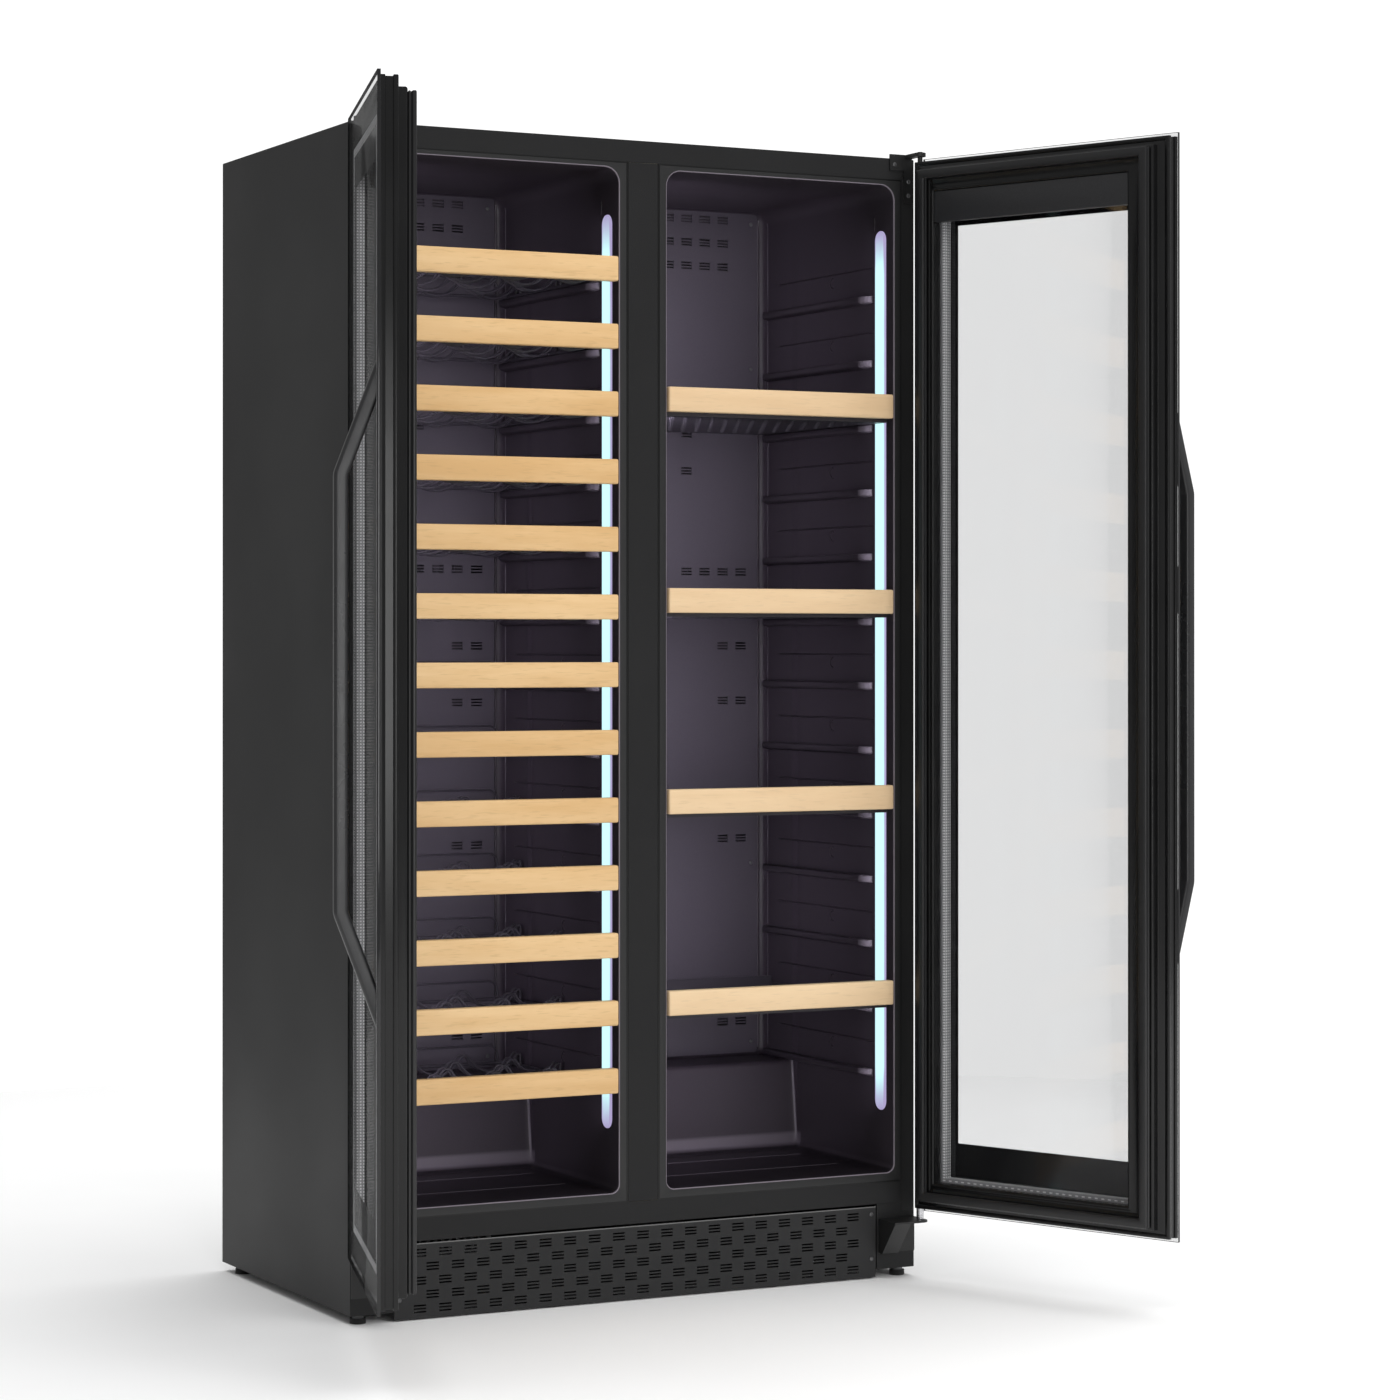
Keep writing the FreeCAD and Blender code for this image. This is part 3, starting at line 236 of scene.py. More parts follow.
class Finish:
    """One material, its node tree and its main shader."""

    def __init__(self, name, **sockets):
        self.material = bpy.data.materials.new(name)
        self.material.use_nodes = True
        self.tree = self.material.node_tree
        self.shader = self.tree.nodes["Principled BSDF"]
        for label, value in sockets.items():
            self.set(label, value)

    def set(self, label, value):
        """Gives a socket of the main shader a value or a link."""
        words = " ".join(word.capitalize() for word in label.split("_")).replace("Ior", "IOR")
        self.feed(self.shader.inputs[words], value)

    def fed(self, label):
        """What feeds a socket of the main shader so far."""
        return Value(self, self.shader.inputs[label].links[0].from_socket)

    def feed(self, socket, value):
        if isinstance(value, Value):
            self.tree.links.new(value.socket, socket)
        elif socket.type == "RGBA" and len(value) == 3:
            socket.default_value = (*value, 1.0)
        else:
            socket.default_value = value

    def node(self, kind, choices=None, values=None, output=0):
        """A new node: its choices are set first, then the values or links of its sockets."""
        made = self.tree.nodes.new(kind)
        for key, value in (choices or {}).items():
            setattr(made, key, value)
        for key, value in (values or {}).items():
            self.feed(made.inputs[key], value)
        return Value(self, made.outputs[output])

    def place(self, stretch=(1.0, 1.0, 1.0), turn=(0.0, 0.0, 0.0)):
        """Object coordinates, stretched and turned."""
        point = self.node("ShaderNodeTexCoord", output=3)
        return self.node("ShaderNodeMapping", values={"Vector": point, "Scale": stretch, "Rotation": turn})

    def along(self, axis):
        """The X, Y or Z of a point, by number."""
        return self.node("ShaderNodeSeparateXYZ", values={0: self.place()}, output=axis)

    def noise(self, scale, detail=2.0, stretch=(1.0, 1.0, 1.0), rough=0.5):
        values = {"Vector": self.place(stretch), "Scale": scale, "Detail": detail, "Roughness": rough}
        return self.node("ShaderNodeTexNoise", values=values)

    def mix(self, factor, first, second):
        """A colour between two colours."""
        return self.node("ShaderNodeMix", {"data_type": "RGBA"}, {0: factor, 6: first, 7: second}, 2)

    def bump(self, height, distance, strength=1.0, under=None):
        values = {"Height": height, "Distance": distance, "Strength": strength}
        if under:
            values["Normal"] = under
        bumped = self.node("ShaderNodeBump", values=values)
        self.set("normal", bumped)
        return bumped


def shade(base, share):
    return tuple(min(1.0, part * share) for part in base)


def coated(name, base, roughness, grain=1400.0, depth=0.00012, variation=0.16, specular=0.5):
    """Satin coat: fine orange-peel grain, slight cloudiness and uneven gloss."""
    made = Finish(name, specular_ior_level=specular)
    fine = made.noise(grain, 2.0)
    cloud = made.noise(3.5, 3.0)
    tone = (fine * 0.6 + cloud * 0.4).ramp(0.3, 0.7)
    made.set("base_color", made.mix(tone, shade(base, 1 - variation), shade(base, 1 + variation)))
    made.set("roughness", cloud.ramp(0.3, 0.7, roughness + 0.05, roughness - 0.05))
    made.bump(fine, depth)
    return made


GRILLE_HIGHLIGHT_BAND = 0.0014
COLLAR_PLACE = (0.472, -0.033, 0.1025)
COLLAR_RADIUS = 0.0063
COLLAR_HALF = 0.0086
COAT_GRAIN = {"grain": 900.0, "depth": 0.00025, "variation": 0.22, "specular": 0.18}


def powder_coat():
    return coated("powder_coat", settings("finishes").coat, 0.46, **COAT_GRAIN).material


def grille_coat():
    """Powder coat a shade lighter, with a painted highlight along the grille's top edge."""
    made = coated("grille_coat", shade(settings("finishes").coat, 1.5), 0.44, **COAT_GRAIN)
    # Painted highlight: a light line painted along the grille's top edge.
    top = made.along(2).over(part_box("toe_grille")[1].z - GRILLE_HIGHLIGHT_BAND)
    made.set("base_color", made.mix(top, made.fed("Base Color"), (0.16, 0.16, 0.16)))
    return made.material


def bracket_coat():
    """Powder coat whose hinge collars are bare metal."""
    made = coated("bracket_coat", shade(settings("finishes").coat, 0.6), 0.40)
    side = made.along(0).size() - COLLAR_PLACE[0]
    depth = made.along(1) - COLLAR_PLACE[1]
    collar = (side * side + depth * depth).under(COLLAR_RADIUS**2)
    collar = collar * (made.along(2) - COLLAR_PLACE[2]).size().under(COLLAR_HALF)
    made.set("base_color", made.mix(collar, made.fed("Base Color"), (0.62, 0.62, 0.64)))
    made.set("metallic", collar)
    made.set("roughness", 0.42 - collar * 0.16)
    return made.material


def opening_surround(across, height):
    """1 on the flange outside the rounded edge of the zone's opening."""
    corners = settings("liner")
    mask = 0.0
    for radius, rise in (
        (corners.top_corner, height - (CAVITY[3] - corners.top_corner)),
        (corners.bottom_corner, (CAVITY[2] + corners.bottom_corner) - height),
    ):
        run, rise = (across - (HALF_ZONE - radius)).either(0.0), rise.either(0.0)
        mask = (run * run + rise * rise).root().over(radius + LIP_ROUND).either(mask)
    return mask


def back_corners(across, depth, height):
    """The moulded lines beside the duct cover and in the corners of the back, used as relief and as painted
    highlights.
    """
    line = across.near(HALF_ZONE - 0.0125, 0.0008, 0.0016) * depth.over(BACK_WALL - 0.007)
    line = line.either(depth.near(BACK_WALL - 0.0125, 0.0004, 0.0012) * across.over(HALF_ZONE - 0.001))
    return line * height.over(STEP_TOP + 0.012) * height.under(CAVITY[3] - 0.012)


def floor_ridges(across, depth, height):
    """The two ridges pressed across the floor, used as relief and as painted highlights."""
    front, back = (depth.near(place, 0.001, 0.004) for place in FLOOR_RIDGES)
    ridge = front.either(back) * height.under(CAVITY[2] + 0.002)
    return ridge * across.near(0.0, HALF_ZONE - 0.035, HALF_ZONE - 0.030)


def painted_highlights(across, depth, height):
    """Painted highlights on the moulding: its lip, rib tips, and the step's foot and sides."""
    rise = height - CAVITY[2]
    slope = (STEP_BACK - STEP_FOOT) / (STEP_TOP - CAVITY[2])
    lip = depth.near(0.0010, 0.0007, 0.0013)
    tip = depth.near(RIB_TIP, 0.0115, 0.0125) * across.under(HALF_ZONE - 0.0015)
    tip = tip * height.over(STEP_TOP + 0.004) * height.under(RIB_TOP + 0.001)
    face = (depth - STEP_FOOT - rise * slope).size().under(0.0030) * height.under(STEP_TOP)
    side = face * across.over(HALF_ZONE - 0.0030)
    foot = rise.near(0.017, 0.006, 0.012) * depth.over(STEP_FOOT - 0.012)
    return lip.either(tip * 0.35).either(side * 0.4).either(foot * 0.30)


def pressed_lines(depth, height):
    """Height of the lines, open rings and beads pressed into the side walls over every rib."""
    level = (height - RIB_TOP) / RIB_STEP
    above = level.sum("FRACT", level) * RIB_STEP
    line = above.near(0.0445, 0.0004, 0.0014) * depth.near(0.225, 0.150, 0.160)
    away, rise = depth - 0.198, above - 0.031
    ring = (away * away + rise * rise).root().near(0.0075, 0.0007, 0.0018) * away.over(-0.0035)
    bead = depth.near(0.0625, 0.0010, 0.0022) * above.under(0.047)
    panel = height.over(STEP_TOP + 0.015) * height.under(RIB_TOP + RIB_STEP * 1.2)
    return line.either(ring).either(bead) * panel


def liner_moulding():
    """Dark vacuum-formed plastic with a soft sheen, pressed lines and a coated flange, with painted
    highlights on its lip, rib tips, step edges, corner lines and floor ridges, and painted shade on its
    floor, seams and the air space behind the back.
    """
    finishes = settings("finishes")
    grain = {"grain": 500.0, "depth": 0.0001, "variation": 0.12, "specular": 0.45}
    made = coated("liner_moulding", finishes.moulding, 0.40, **grain)
    depth, height = made.along(1), made.along(2)
    across = (made.along(0).size() - (CAVITY[0] + CAVITY[1]) / 2).size()
    corner = back_corners(across, depth, height)
    ridge = floor_ridges(across, depth, height)
    # Painted shade: the zone's floor is painted darker than the walls.
    floor = height.under(CAVITY[2] + 0.0050) * depth.over(0.004)
    # Painted shadow: a dark line along the seam where the flange meets the frame.
    seam_shadow = across.over((FLANGE[1] - FLANGE[0]) / 2 - SEAM_SHADOW_WIDTH)
    seam_shadow = seam_shadow.either(height.over(FLANGE[3] - SEAM_SHADOW_WIDTH)).either(height.under(FLANGE[2] + SEAM_SHADOW_WIDTH))
    # Painted highlights: the lip, rib tips, step edges, back corner lines and floor ridges are painted
    # lighter.
    bright = painted_highlights(across, depth, height).either(corner).either(ridge * 0.45)
    tone = made.mix(floor, made.fed("Base Color"), shade(finishes.moulding, 0.42))
    tone = made.mix(bright, tone, (0.20, 0.175, 0.205))
    tone = made.mix(opening_surround(across, height) * depth.under(0.0004), tone, finishes.coat)
    # Painted shadow along the seam.
    tone = made.mix(seam_shadow * depth.under(0.0026), tone, shade(finishes.coat, 0.08))
    # Painted shade: the air space behind the back wall is painted near black.
    tone = made.mix(depth.over(BACK_WALL + 0.0012), tone, shade(finishes.moulding, 0.1))
    made.set("base_color", tone)
    relief = pressed_lines(depth, height) * across.over(HALF_ZONE - 0.001)
    made.bump(relief + corner + ridge, 0.0022, 1.0, made.fed("Normal"))
    return made.material


def duct_paint():
    """Satin gunmetal paint on sheet metal."""
    made = coated("duct_paint", settings("finishes").duct, 0.38, grain=1100.0, variation=0.12)
    made.set("metallic", 0.35)
    return made.material


def door_plastic():
    """Black moulded plastic, evenly satin with a faint cloudiness."""
    made = Finish("door_plastic", specular_ior_level=0.36)
    base = settings("finishes").door
    fine = made.noise(1500.0, 2.0)
    cloud = made.noise(9.0, 2.0)
    made.set("base_color", made.mix(cloud.ramp(0.3, 0.7), shade(base, 0.8), shade(base, 1.3)))
    made.set("roughness", cloud.ramp(0.3, 0.7, 0.27, 0.23))
    made.bump(fine, 0.00001, 0.5)
    return made.material


def header_metal():
    """Black bar brushed along its length."""
    made = Finish("header_metal", specular_ior_level=0.5)
    lines = made.noise(900.0, 3.0, (0.02, 1.0, 1.0))
    made.set("base_color", made.mix(lines.ramp(0.3, 0.7), (0.010, 0.010, 0.011), (0.026, 0.026, 0.028)))
    made.set("roughness", lines.ramp(0.3, 0.7, 0.46, 0.30))
    made.bump(lines, 0.0001, 0.6)
    return made.material


def seal_rubber():
    """Soft black rubber with a faint bloom."""
    return coated(
        "seal_rubber", settings("finishes").seal, 0.33, grain=700.0, depth=0.00008, variation=0.2
    ).material


def handle_paint():
    """Satin black paint, rubbed a little smoother along the grip."""
    made = coated("handle_paint", (0.017, 0.017, 0.018), 0.34, grain=1300.0, depth=0.0001, variation=0.15)
    grip = (made.along(2) - GRIP_MIDDLE).size().ramp(0.1, 0.45)
    made.set("roughness", made.noise(30.0, 3.0).ramp(0.3, 0.7, 0.30, 0.24) + grip * 0.1)
    return made.material


def gloss_black():
    """Gloss black plastic with barely visible waviness."""
    made = Finish("gloss_black", specular_ior_level=0.5)
    cloud = made.noise(20.0, 3.0)
    made.set("base_color", made.mix(cloud, (0.006, 0.006, 0.0065), (0.012, 0.012, 0.013)))
    made.set("roughness", cloud.ramp(0.3, 0.7, 0.13, 0.07))
    made.bump(cloud, 0.0003, 0.3)
    return made.material


SPACER_HOLES = 0.0045
THREAD_PITCH = 0.00125
PAD_TOP = 0.008


def spacer_metal():
    """Mill-finished spacer bar between the panes, with its row of fine holes."""
    made = Finish("spacer_metal")
    length = made.along(2)
    across = made.along(0)
    turns = 2 * pi / SPACER_HOLES
    dots = (length * turns).sine().ramp(-0.2, 0.6)
    other = (across * turns).sine().ramp(-0.2, 0.6)
    cloud = made.noise(80.0, 3.0)
    tone = (dots * other * 0.8 + cloud * 0.2).ramp(0.1, 0.8)
    made.set("base_color", made.mix(tone, (0.32, 0.32, 0.33), (0.95, 0.95, 0.96)))
    made.set("metallic", 0.2)
    made.set("roughness", cloud.ramp(0.3, 0.7, 0.5, 0.38))
    made.bump(dots * other, 0.0003, 0.6)
    return made.material


def pane_glass(name, share, rough):
    """Clear coated glass: tinted a little, with a mirror share that grows at a glance."""
    made = Finish(name)
    tree = made.tree
    haze = made.noise(4.0, 2.0)
    clear = made.node("ShaderNodeBsdfTransparent", values={"Color": (0.905, 0.906, 0.907)})
    uneven = haze.ramp(0.3, 0.7, rough * 1.2, rough * 0.8)
    gloss = made.node("ShaderNodeBsdfGlossy", values={"Roughness": uneven})
    facing = made.node("ShaderNodeFresnel", values={"IOR": 1.5}) * share
    both = made.node("ShaderNodeMixShader", values={0: facing, 1: clear, 2: gloss})
    tree.nodes.remove(made.shader)
    tree.links.new(both.socket, tree.nodes["Material Output"].inputs["Surface"])
    return made.material


def beech():
    """Oiled light beech: long grain along the board with short dark flecks and faint figure, painted lighter
    in the right-hand zone as painted light.
    """
    made = Finish("beech", specular_ior_level=0.4)
    finishes = settings("finishes")
    grain = made.noise(55.0, 6.0, (0.10, 1.0, 1.0), 0.62)
    figure = made.noise(9.0, 3.0, (0.25, 1.0, 1.0), 0.5)
    flecks = made.noise(420.0, 1.0, (0.09, 1.0, 1.0)).ramp(0.60, 0.72)
    board = made.noise(2.7, 0.0, (0.15, 0.15, 1.0)).ramp(0.35, 0.65)
    tone = (grain * 0.55 + figure * 0.25 + board * 0.2).ramp(0.32, 0.66)
    wood = made.mix(tone, finishes.beech_light, finishes.beech_dark)
    wood = made.mix(flecks * 0.30, wood, shade(finishes.beech_dark, 0.72))
    # Painted light: the boards of the right-hand zone are painted lighter.
    right_zone_lit = made.along(0).over(0.0)
    wood = made.mix(right_zone_lit * 0.22, wood, (0.95, 0.85, 0.70))
    made.set("base_color", wood)
    made.set("roughness", grain.ramp(0.3, 0.7, 0.56, 0.44))
    made.bump(grain * 0.7 + flecks * 0.3, 0.0002, 0.5)
    return made.material


def wire_coat():
    """Dark dipped coating, slightly uneven along the wires."""
    return coated(
        "wire_coat", settings("finishes").wire, 0.30, grain=260.0, depth=0.0001, variation=0.2
    ).material


def tray_coat():
    return coated(
        "tray_coat", settings("finishes").wire, 0.42, grain=1200.0, depth=0.00015, variation=0.18
    ).material


def screw_steel():
    """Blackened steel."""
    made = coated("screw_steel", (0.16, 0.16, 0.165), 0.36, grain=900.0, depth=0.0001, variation=0.25)
    made.set("metallic", 0.8)
    return made.material


def foot_finish():
    """Black pads under bright threaded studs and nuts."""
    made = coated("foot_finish", (0.020, 0.020, 0.020), 0.5, grain=700.0, depth=0.0001, variation=0.2)
    height = made.along(2)
    metal = (PAD_TOP - height).under(0.0)
    # Painted shade and highlight: the thread's crests are painted lighter and its roots darker, besides the
    # bump.
    thread = (height * (2 * pi / THREAD_PITCH)).sine()
    bright = made.mix(thread.ramp(-1.0, 1.0), (0.34, 0.34, 0.35), (0.66, 0.66, 0.67))
    made.set("base_color", made.mix(metal, (0.020, 0.020, 0.020), bright))
    made.set("metallic", metal * 0.9)
    made.bump(thread, 0.0004)
    return made.material


def machine_metal():
    """Aluminium and painted steel of the cooling unit."""
    made = Finish("machine_metal", metallic=0.7)
    cloud = made.noise(14.0, 4.0)
    coil = made.along(2).over(STEP_TOP)
    metal = made.mix(cloud.ramp(0.3, 0.7), (0.30, 0.30, 0.31), (0.50, 0.51, 0.52))
    made.set("base_color", made.mix(coil, metal, (0.006, 0.006, 0.006)))
    made.set("roughness", cloud.ramp(0.3, 0.7, 0.5, 0.34))
    made.bump(made.noise(300.0, 2.0), 0.0002, 0.4)
    return made.material


def fan_plastic():
    return coated("fan_plastic", (0.022, 0.022, 0.023), 0.45, grain=600.0, depth=0.0001).material


def foam():
    """Rigid foam with small cells."""
    made = Finish("foam")
    cells = made.noise(350.0, 3.0)
    made.set("base_color", made.mix(cells.ramp(0.3, 0.7), (0.62, 0.54, 0.34), (0.80, 0.73, 0.52)))
    made.set("roughness", cells.ramp(0.3, 0.7, 0.9, 0.8))
    made.bump(cells, 0.0006)
    return made.material


def light_diffuser():
    """Frosted strip, cool white along its middle and lavender towards its rim and ends."""
    made = Finish("light_diffuser", roughness=0.6)
    finishes = settings("finishes")
    low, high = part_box("light_strips")
    middle = (low.y + high.y) / 2
    half = (high.y - low.y) / 2
    rim = (made.along(1) - middle).size().ramp(half * 0.72, half)
    end_low = made.along(2).ramp(low.z, low.z + 0.07, 0.0, 1.0)
    end_high = made.along(2).ramp(high.z - 0.07, high.z)
    edge = (rim + end_low + end_high).ramp(0.15, 1.0)
    cloud = made.noise(40.0, 2.0).ramp(0.3, 0.7, 0.06, -0.06)
    glow = made.mix(edge + cloud, finishes.glow, finishes.glow_edge)
    made.set("base_color", made.mix(edge, (0.05, 0.05, 0.05), (0.08, 0.08, 0.10)))
    made.set("emission_color", made.mix(edge.ramp(0.0, 1.0, 0.35), glow, (0.05, 0.04, 0.09)))
    made.set("emission_strength", settings("studio").strips)
    made.bump(made.noise(300.0, 2.0), 0.0001, 0.3)
    return made.material


# ------------------------------------------------------------------ shapes


def dressed(name, mesh, finish, body, replaced=(), sharp=40.0, place=None):
    """A finished piece: clean closed mesh, smooth where it curves, moving with its body."""
    if place:
        mesh.transform(place)
    work = bmesh.new()
    work.from_mesh(mesh)
    bmesh.ops.remove_doubles(work, verts=work.verts, dist=1e-6)
    bmesh.ops.recalc_face_normals(work, faces=work.faces)
    work.to_mesh(mesh)
    work.free()
    mesh.shade_smooth()
    mesh.set_sharp_from_angle(angle=radians(sharp))
    mesh.materials.clear()
    mesh.materials.append(finish)
    piece = bpy.data.objects.new(name, mesh)
    bpy.context.scene.collection.objects.link(piece)
    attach(piece, body)
    if replaced:
        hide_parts(*replaced)
    return piece


class Shape:
    """Points and faces of a piece under construction, in metres."""

    def __init__(self):
        self.points = []
        self.faces = []

    def loft(self, loops, joined=False):
        """Skin over loops with the same number of points; open ends are filled."""
        start = len(self.points)
        count = len(loops[0])
        for loop in loops:
            self.points.extend(loop)
        for row in range(len(loops) - (0 if joined else 1)):
            here = start + row * count
            there = start + (row + 1) % len(loops) * count
            for k in range(count):
                after = (k + 1) % count
                self.faces.append((here + k, here + after, there + after, there + k))
        if not joined:
            self.faces.append(tuple(range(start + count - 1, start - 1, -1)))
            last = start + (len(loops) - 1) * count
            self.faces.append(tuple(range(last, last + count)))
        return self

    def mesh(self, name):
        made = bpy.data.meshes.new(name)
        made.from_pydata(self.points, [], self.faces)
        return made


def bent(corners, radius, steps=6):
    """A run of 2-D points with its inner corners rounded to one radius, or to one each."""
    if not isinstance(radius, (list, tuple)):
        radius = [radius] * (len(corners) - 2)
    points = [tuple(corners[0])]
    for before, corner, after, bend in zip(corners, corners[1:], corners[2:], radius):
        here = Vector(corner)
        a = (Vector(before) - here).normalized()
        b = (Vector(after) - here).normalized()
        half = acos(max(-1.0, min(1.0, a.dot(b)))) / 2
        centre = here + (a + b).normalized() * (bend / sin(half))
        start = here + a * (bend / tan(half)) - centre
        end = here + b * (bend / tan(half)) - centre
        sweep = pi - 2 * half
        for step in range(steps + 1):
            share = step / steps
            p = (start * sin((1 - share) * sweep) + end * sin(share * sweep)) / sin(sweep)
            points.append(tuple(centre + p))
    points.append(tuple(corners[-1]))
    return points


def rounded(left, right, low, high, top, bottom=None, steps=6):
    """Two-coordinate loop round a rectangle, with a radius at its top and one at its bottom."""
    bottom = top if bottom is None else bottom
    loop = []
    corners = (
        (right, high, -1, -1, top),
        (left, high, 1, -1, top),
        (left, low, 1, 1, bottom),
        (right, low, -1, 1, bottom),
    )
    for quarter, (x, z, inward, upward, radius) in enumerate(corners):
        for step in range(steps + 1):
            angle = pi / 2 * (quarter + step / steps)
            across, rise = inward + cos(angle), upward + sin(angle)
            loop.append((x + radius * across, z + radius * rise))
    return loop


def ringed(profile, round_corner=0.0006, steps=2):
    """Loops of a frame: each profile entry is a rectangle, its inset and its Y."""
    loops = []
    for (left, right, low, high), inset, y in profile:
        flat = rounded(left + inset, right - inset, low + inset, high - inset, round_corner, steps=steps)
        loops.append([(x, y, z) for x, z in flat])
    return loops


def block(low, high, radius, segments=3):
    """Mesh of a block with all its edges rounded."""
    work = bmesh.new()
    bmesh.ops.create_cube(work, size=1.0)
    low, high = Vector(low), Vector(high)
    for vertex in work.verts:
        vertex.co = Vector((low + high) / 2) + Vector(a * b for a, b in zip(vertex.co, high - low))
    bmesh.ops.bevel(work, geom=work.edges[:], offset=radius, segments=segments, profile=0.5, affect="EDGES")
    made = bpy.data.meshes.new("block")
    work.to_mesh(made)
    work.free()
    return made


def gathered(meshes):
    """One mesh from several."""
    work = bmesh.new()
    for mesh in meshes:
        work.from_mesh(mesh)
    made = bpy.data.meshes.new("gathered")
    work.to_mesh(made)
    work.free()
    return made


def solid_parts(node):
    """The corner points of each separate solid of a node, as lists of points."""
    work = bmesh.new()
    work.from_mesh(frame["nodes"][node].data)
    bmesh.ops.remove_doubles(work, verts=work.verts, dist=1e-6)
    left = set(work.verts)
    parts = []
    while left:
        reached = [left.pop()]
        for vertex in reached:
            for edge in vertex.link_edges:
                other = edge.other_vert(vertex)
                if other in left:
                    left.discard(other)
                    reached.append(other)
        parts.append([vertex.co.copy() for vertex in reached])
    work.free()
    return parts


def limits(points):
    """Lowest and highest corner of some points."""
    return Vector(map(min, zip(*points))), Vector(map(max, zip(*points)))


def paint(node, finish):
    """Gives a node that keeps its own shape a better finish."""
    for holder in frame["nodes"][node].material_slots:
        holder.material = finish


class Growth:
    """A Geometry Nodes tree with named inputs."""

    def __init__(self, name, inputs):
        self.tree = bpy.data.node_groups.new(name, "GeometryNodeTree")
        self.tree.interface.new_socket("Geometry", in_out="INPUT", socket_type="NodeSocketGeometry")
        for label, kind in inputs.items():
            self.tree.interface.new_socket(label, in_out="INPUT", socket_type="NodeSocket" + kind)
        self.tree.interface.new_socket("Geometry", in_out="OUTPUT", socket_type="NodeSocketGeometry")
        self.start = self.tree.nodes.new("NodeGroupInput").outputs
        self.end = self.tree.nodes.new("NodeGroupOutput").inputs[0]

    def node(self, kind, choices=None, values=None):
        made = self.tree.nodes.new(kind)
        for key, value in (choices or {}).items():
            setattr(made, key, value)
        for key, value in (values or {}).items():
            if isinstance(value, bpy.types.NodeSocket):
                self.tree.links.new(value, made.inputs[key])
            else:
                made.inputs[key].default_value = value
        return made.outputs

    def repeat(self, shape, count):
        """Sets a shape on a line of places and closes the tree."""
        places = {"Count": count, "Offset": self.start["Step"]}
        line = self.node("GeometryNodeMeshLine", {"mode": "OFFSET"}, places)
        put = self.node("GeometryNodeInstanceOnPoints", values={"Points": line[0], "Instance": shape})
        self.close(put[0])

    def close(self, geometry):
        """Realizes the instances and sets the material, which every tree ends in."""
        real = self.node("GeometryNodeRealizeInstances", values={"Geometry": geometry})
        dressing = {"Geometry": real[0], "Material": self.start["Material"]}
        ready = self.node("GeometryNodeSetMaterial", values=dressing)
        self.tree.links.new(ready[0], self.end)

    def grow(self, mesh, values):
        """The plain mesh that the tree makes from a starting mesh."""
        source = bpy.data.objects.new("growth", mesh)
        bpy.context.scene.collection.objects.link(source)
        modifier = source.modifiers.new("growth", "NODES")
        modifier.node_group = self.tree
        for item in self.tree.interface.items_tree:
            if item.in_out == "INPUT" and item.name in values:
                modifier[item.identifier] = values[item.name]
        depsgraph = bpy.context.evaluated_depsgraph_get()
        made = bpy.data.meshes.new_from_object(source.evaluated_get(depsgraph))
        bpy.data.objects.remove(source)
        return made


def repeats_in_line():
    """Tree that repeats a shape along a line of places."""
    growth = Growth("repeats_in_line", {"Count": "Int", "Step": "Vector", "Material": "Material"})
    growth.repeat(growth.start["Geometry"], growth.start["Count"])
    return growth


def wires_in_rows():
    """Tree that thickens wire paths and repeats them in rows."""
    inputs = {"Radius": "Float", "Sides": "Int", "Rows": "Int", "Step": "Vector", "Material": "Material"}
    growth = Growth("wires_in_rows", inputs)
    path = growth.node("GeometryNodeMeshToCurve", values={"Mesh": growth.start["Geometry"]})
    section = {"Resolution": growth.start["Sides"], "Radius": growth.start["Radius"]}
    round_wire = growth.node("GeometryNodeCurvePrimitiveCircle", values=section)
    skin = {"Curve": path[0], "Profile Curve": round_wire[0], "Fill Caps": True}
    thick = growth.node("GeometryNodeCurveToMesh", values=skin)
    growth.repeat(thick[0], growth.start["Rows"])
    return growth


def heads_on_places():
    """Tree that sets a screw head at each place, facing its own way."""
    growth = Growth("heads_on_places", {"Head": "Object", "Material": "Material"})
    head = growth.node("GeometryNodeObjectInfo", values={"Object": growth.start["Head"]})
    facing = growth.node("GeometryNodeInputNamedAttribute", {"data_type": "FLOAT_VECTOR"}, {"Name": "facing"})
    turned = growth.node("FunctionNodeAlignRotationToVector", {"axis": "Z"}, {"Vector": facing[0]})
    put = growth.node(
        "GeometryNodeInstanceOnPoints",
        values={"Points": growth.start["Geometry"], "Instance": head["Geometry"], "Rotation": turned[0]},
    )
    growth.close(put[0])
    return growth


def path_mesh(paths):
    """Edges along one or more open paths."""
    points, edges = [], []
    for path in paths:
        first = len(points)
        points.extend(path)
        edges.extend((first + k, first + k + 1) for k in range(len(path) - 1))
    made = bpy.data.meshes.new("path")
    made.from_pydata(points, edges, [])
    return made


# ------------------------------------------------------------------ cabinet


class COOLER_OT_case(Operator):
    """Finishes the casing, front frame, base, grille, feet and machinery"""

    bl_idname = "cooler.case"
    bl_label = "Cabinet Shell"

    def execute(self, context):
        coat = powder_coat()
        for node in ("outer_casing", "back_panel", "base_tray", "front_frame"):
            paint(node, coat)
        paint("toe_grille", grille_coat())
        paint("hinge_brackets", bracket_coat())
        paint("levelling_feet", foot_finish())
        paint("insulation", foam())
        paint("cooling_unit", machine_metal())
        duct = duct_paint()
        plastic = fan_plastic()
        for side in ("left", "right"):
            paint("duct_cover_" + side, duct)
            paint("fan_" + side, plastic)
        return {"FINISHED"}


PLENUM = (0.0739, 0.4103, 0.3449, 1.700)
CAVITY = (0.0409, 0.4433, 0.1659, 1.727)
FLANGE = (0.0254, 0.4564, 0.1507, 1.7366)
SEAM_SHADOW_WIDTH = 0.0022
BACK_WALL = 0.432
PLENUM_BACK = 0.487
STEP_FOOT = 0.317
STEP_BACK = 0.334
STEP_TOP = 0.3099
RIB_TOP = 1.558
RIB_STEP = 0.103
RIB_COUNT = 13
RIB_TIP = 0.078
LIP_ROUND = 0.0016
HALF_ZONE = (CAVITY[1] - CAVITY[0]) / 2
FLOOR_RIDGES = (0.125, 0.250)


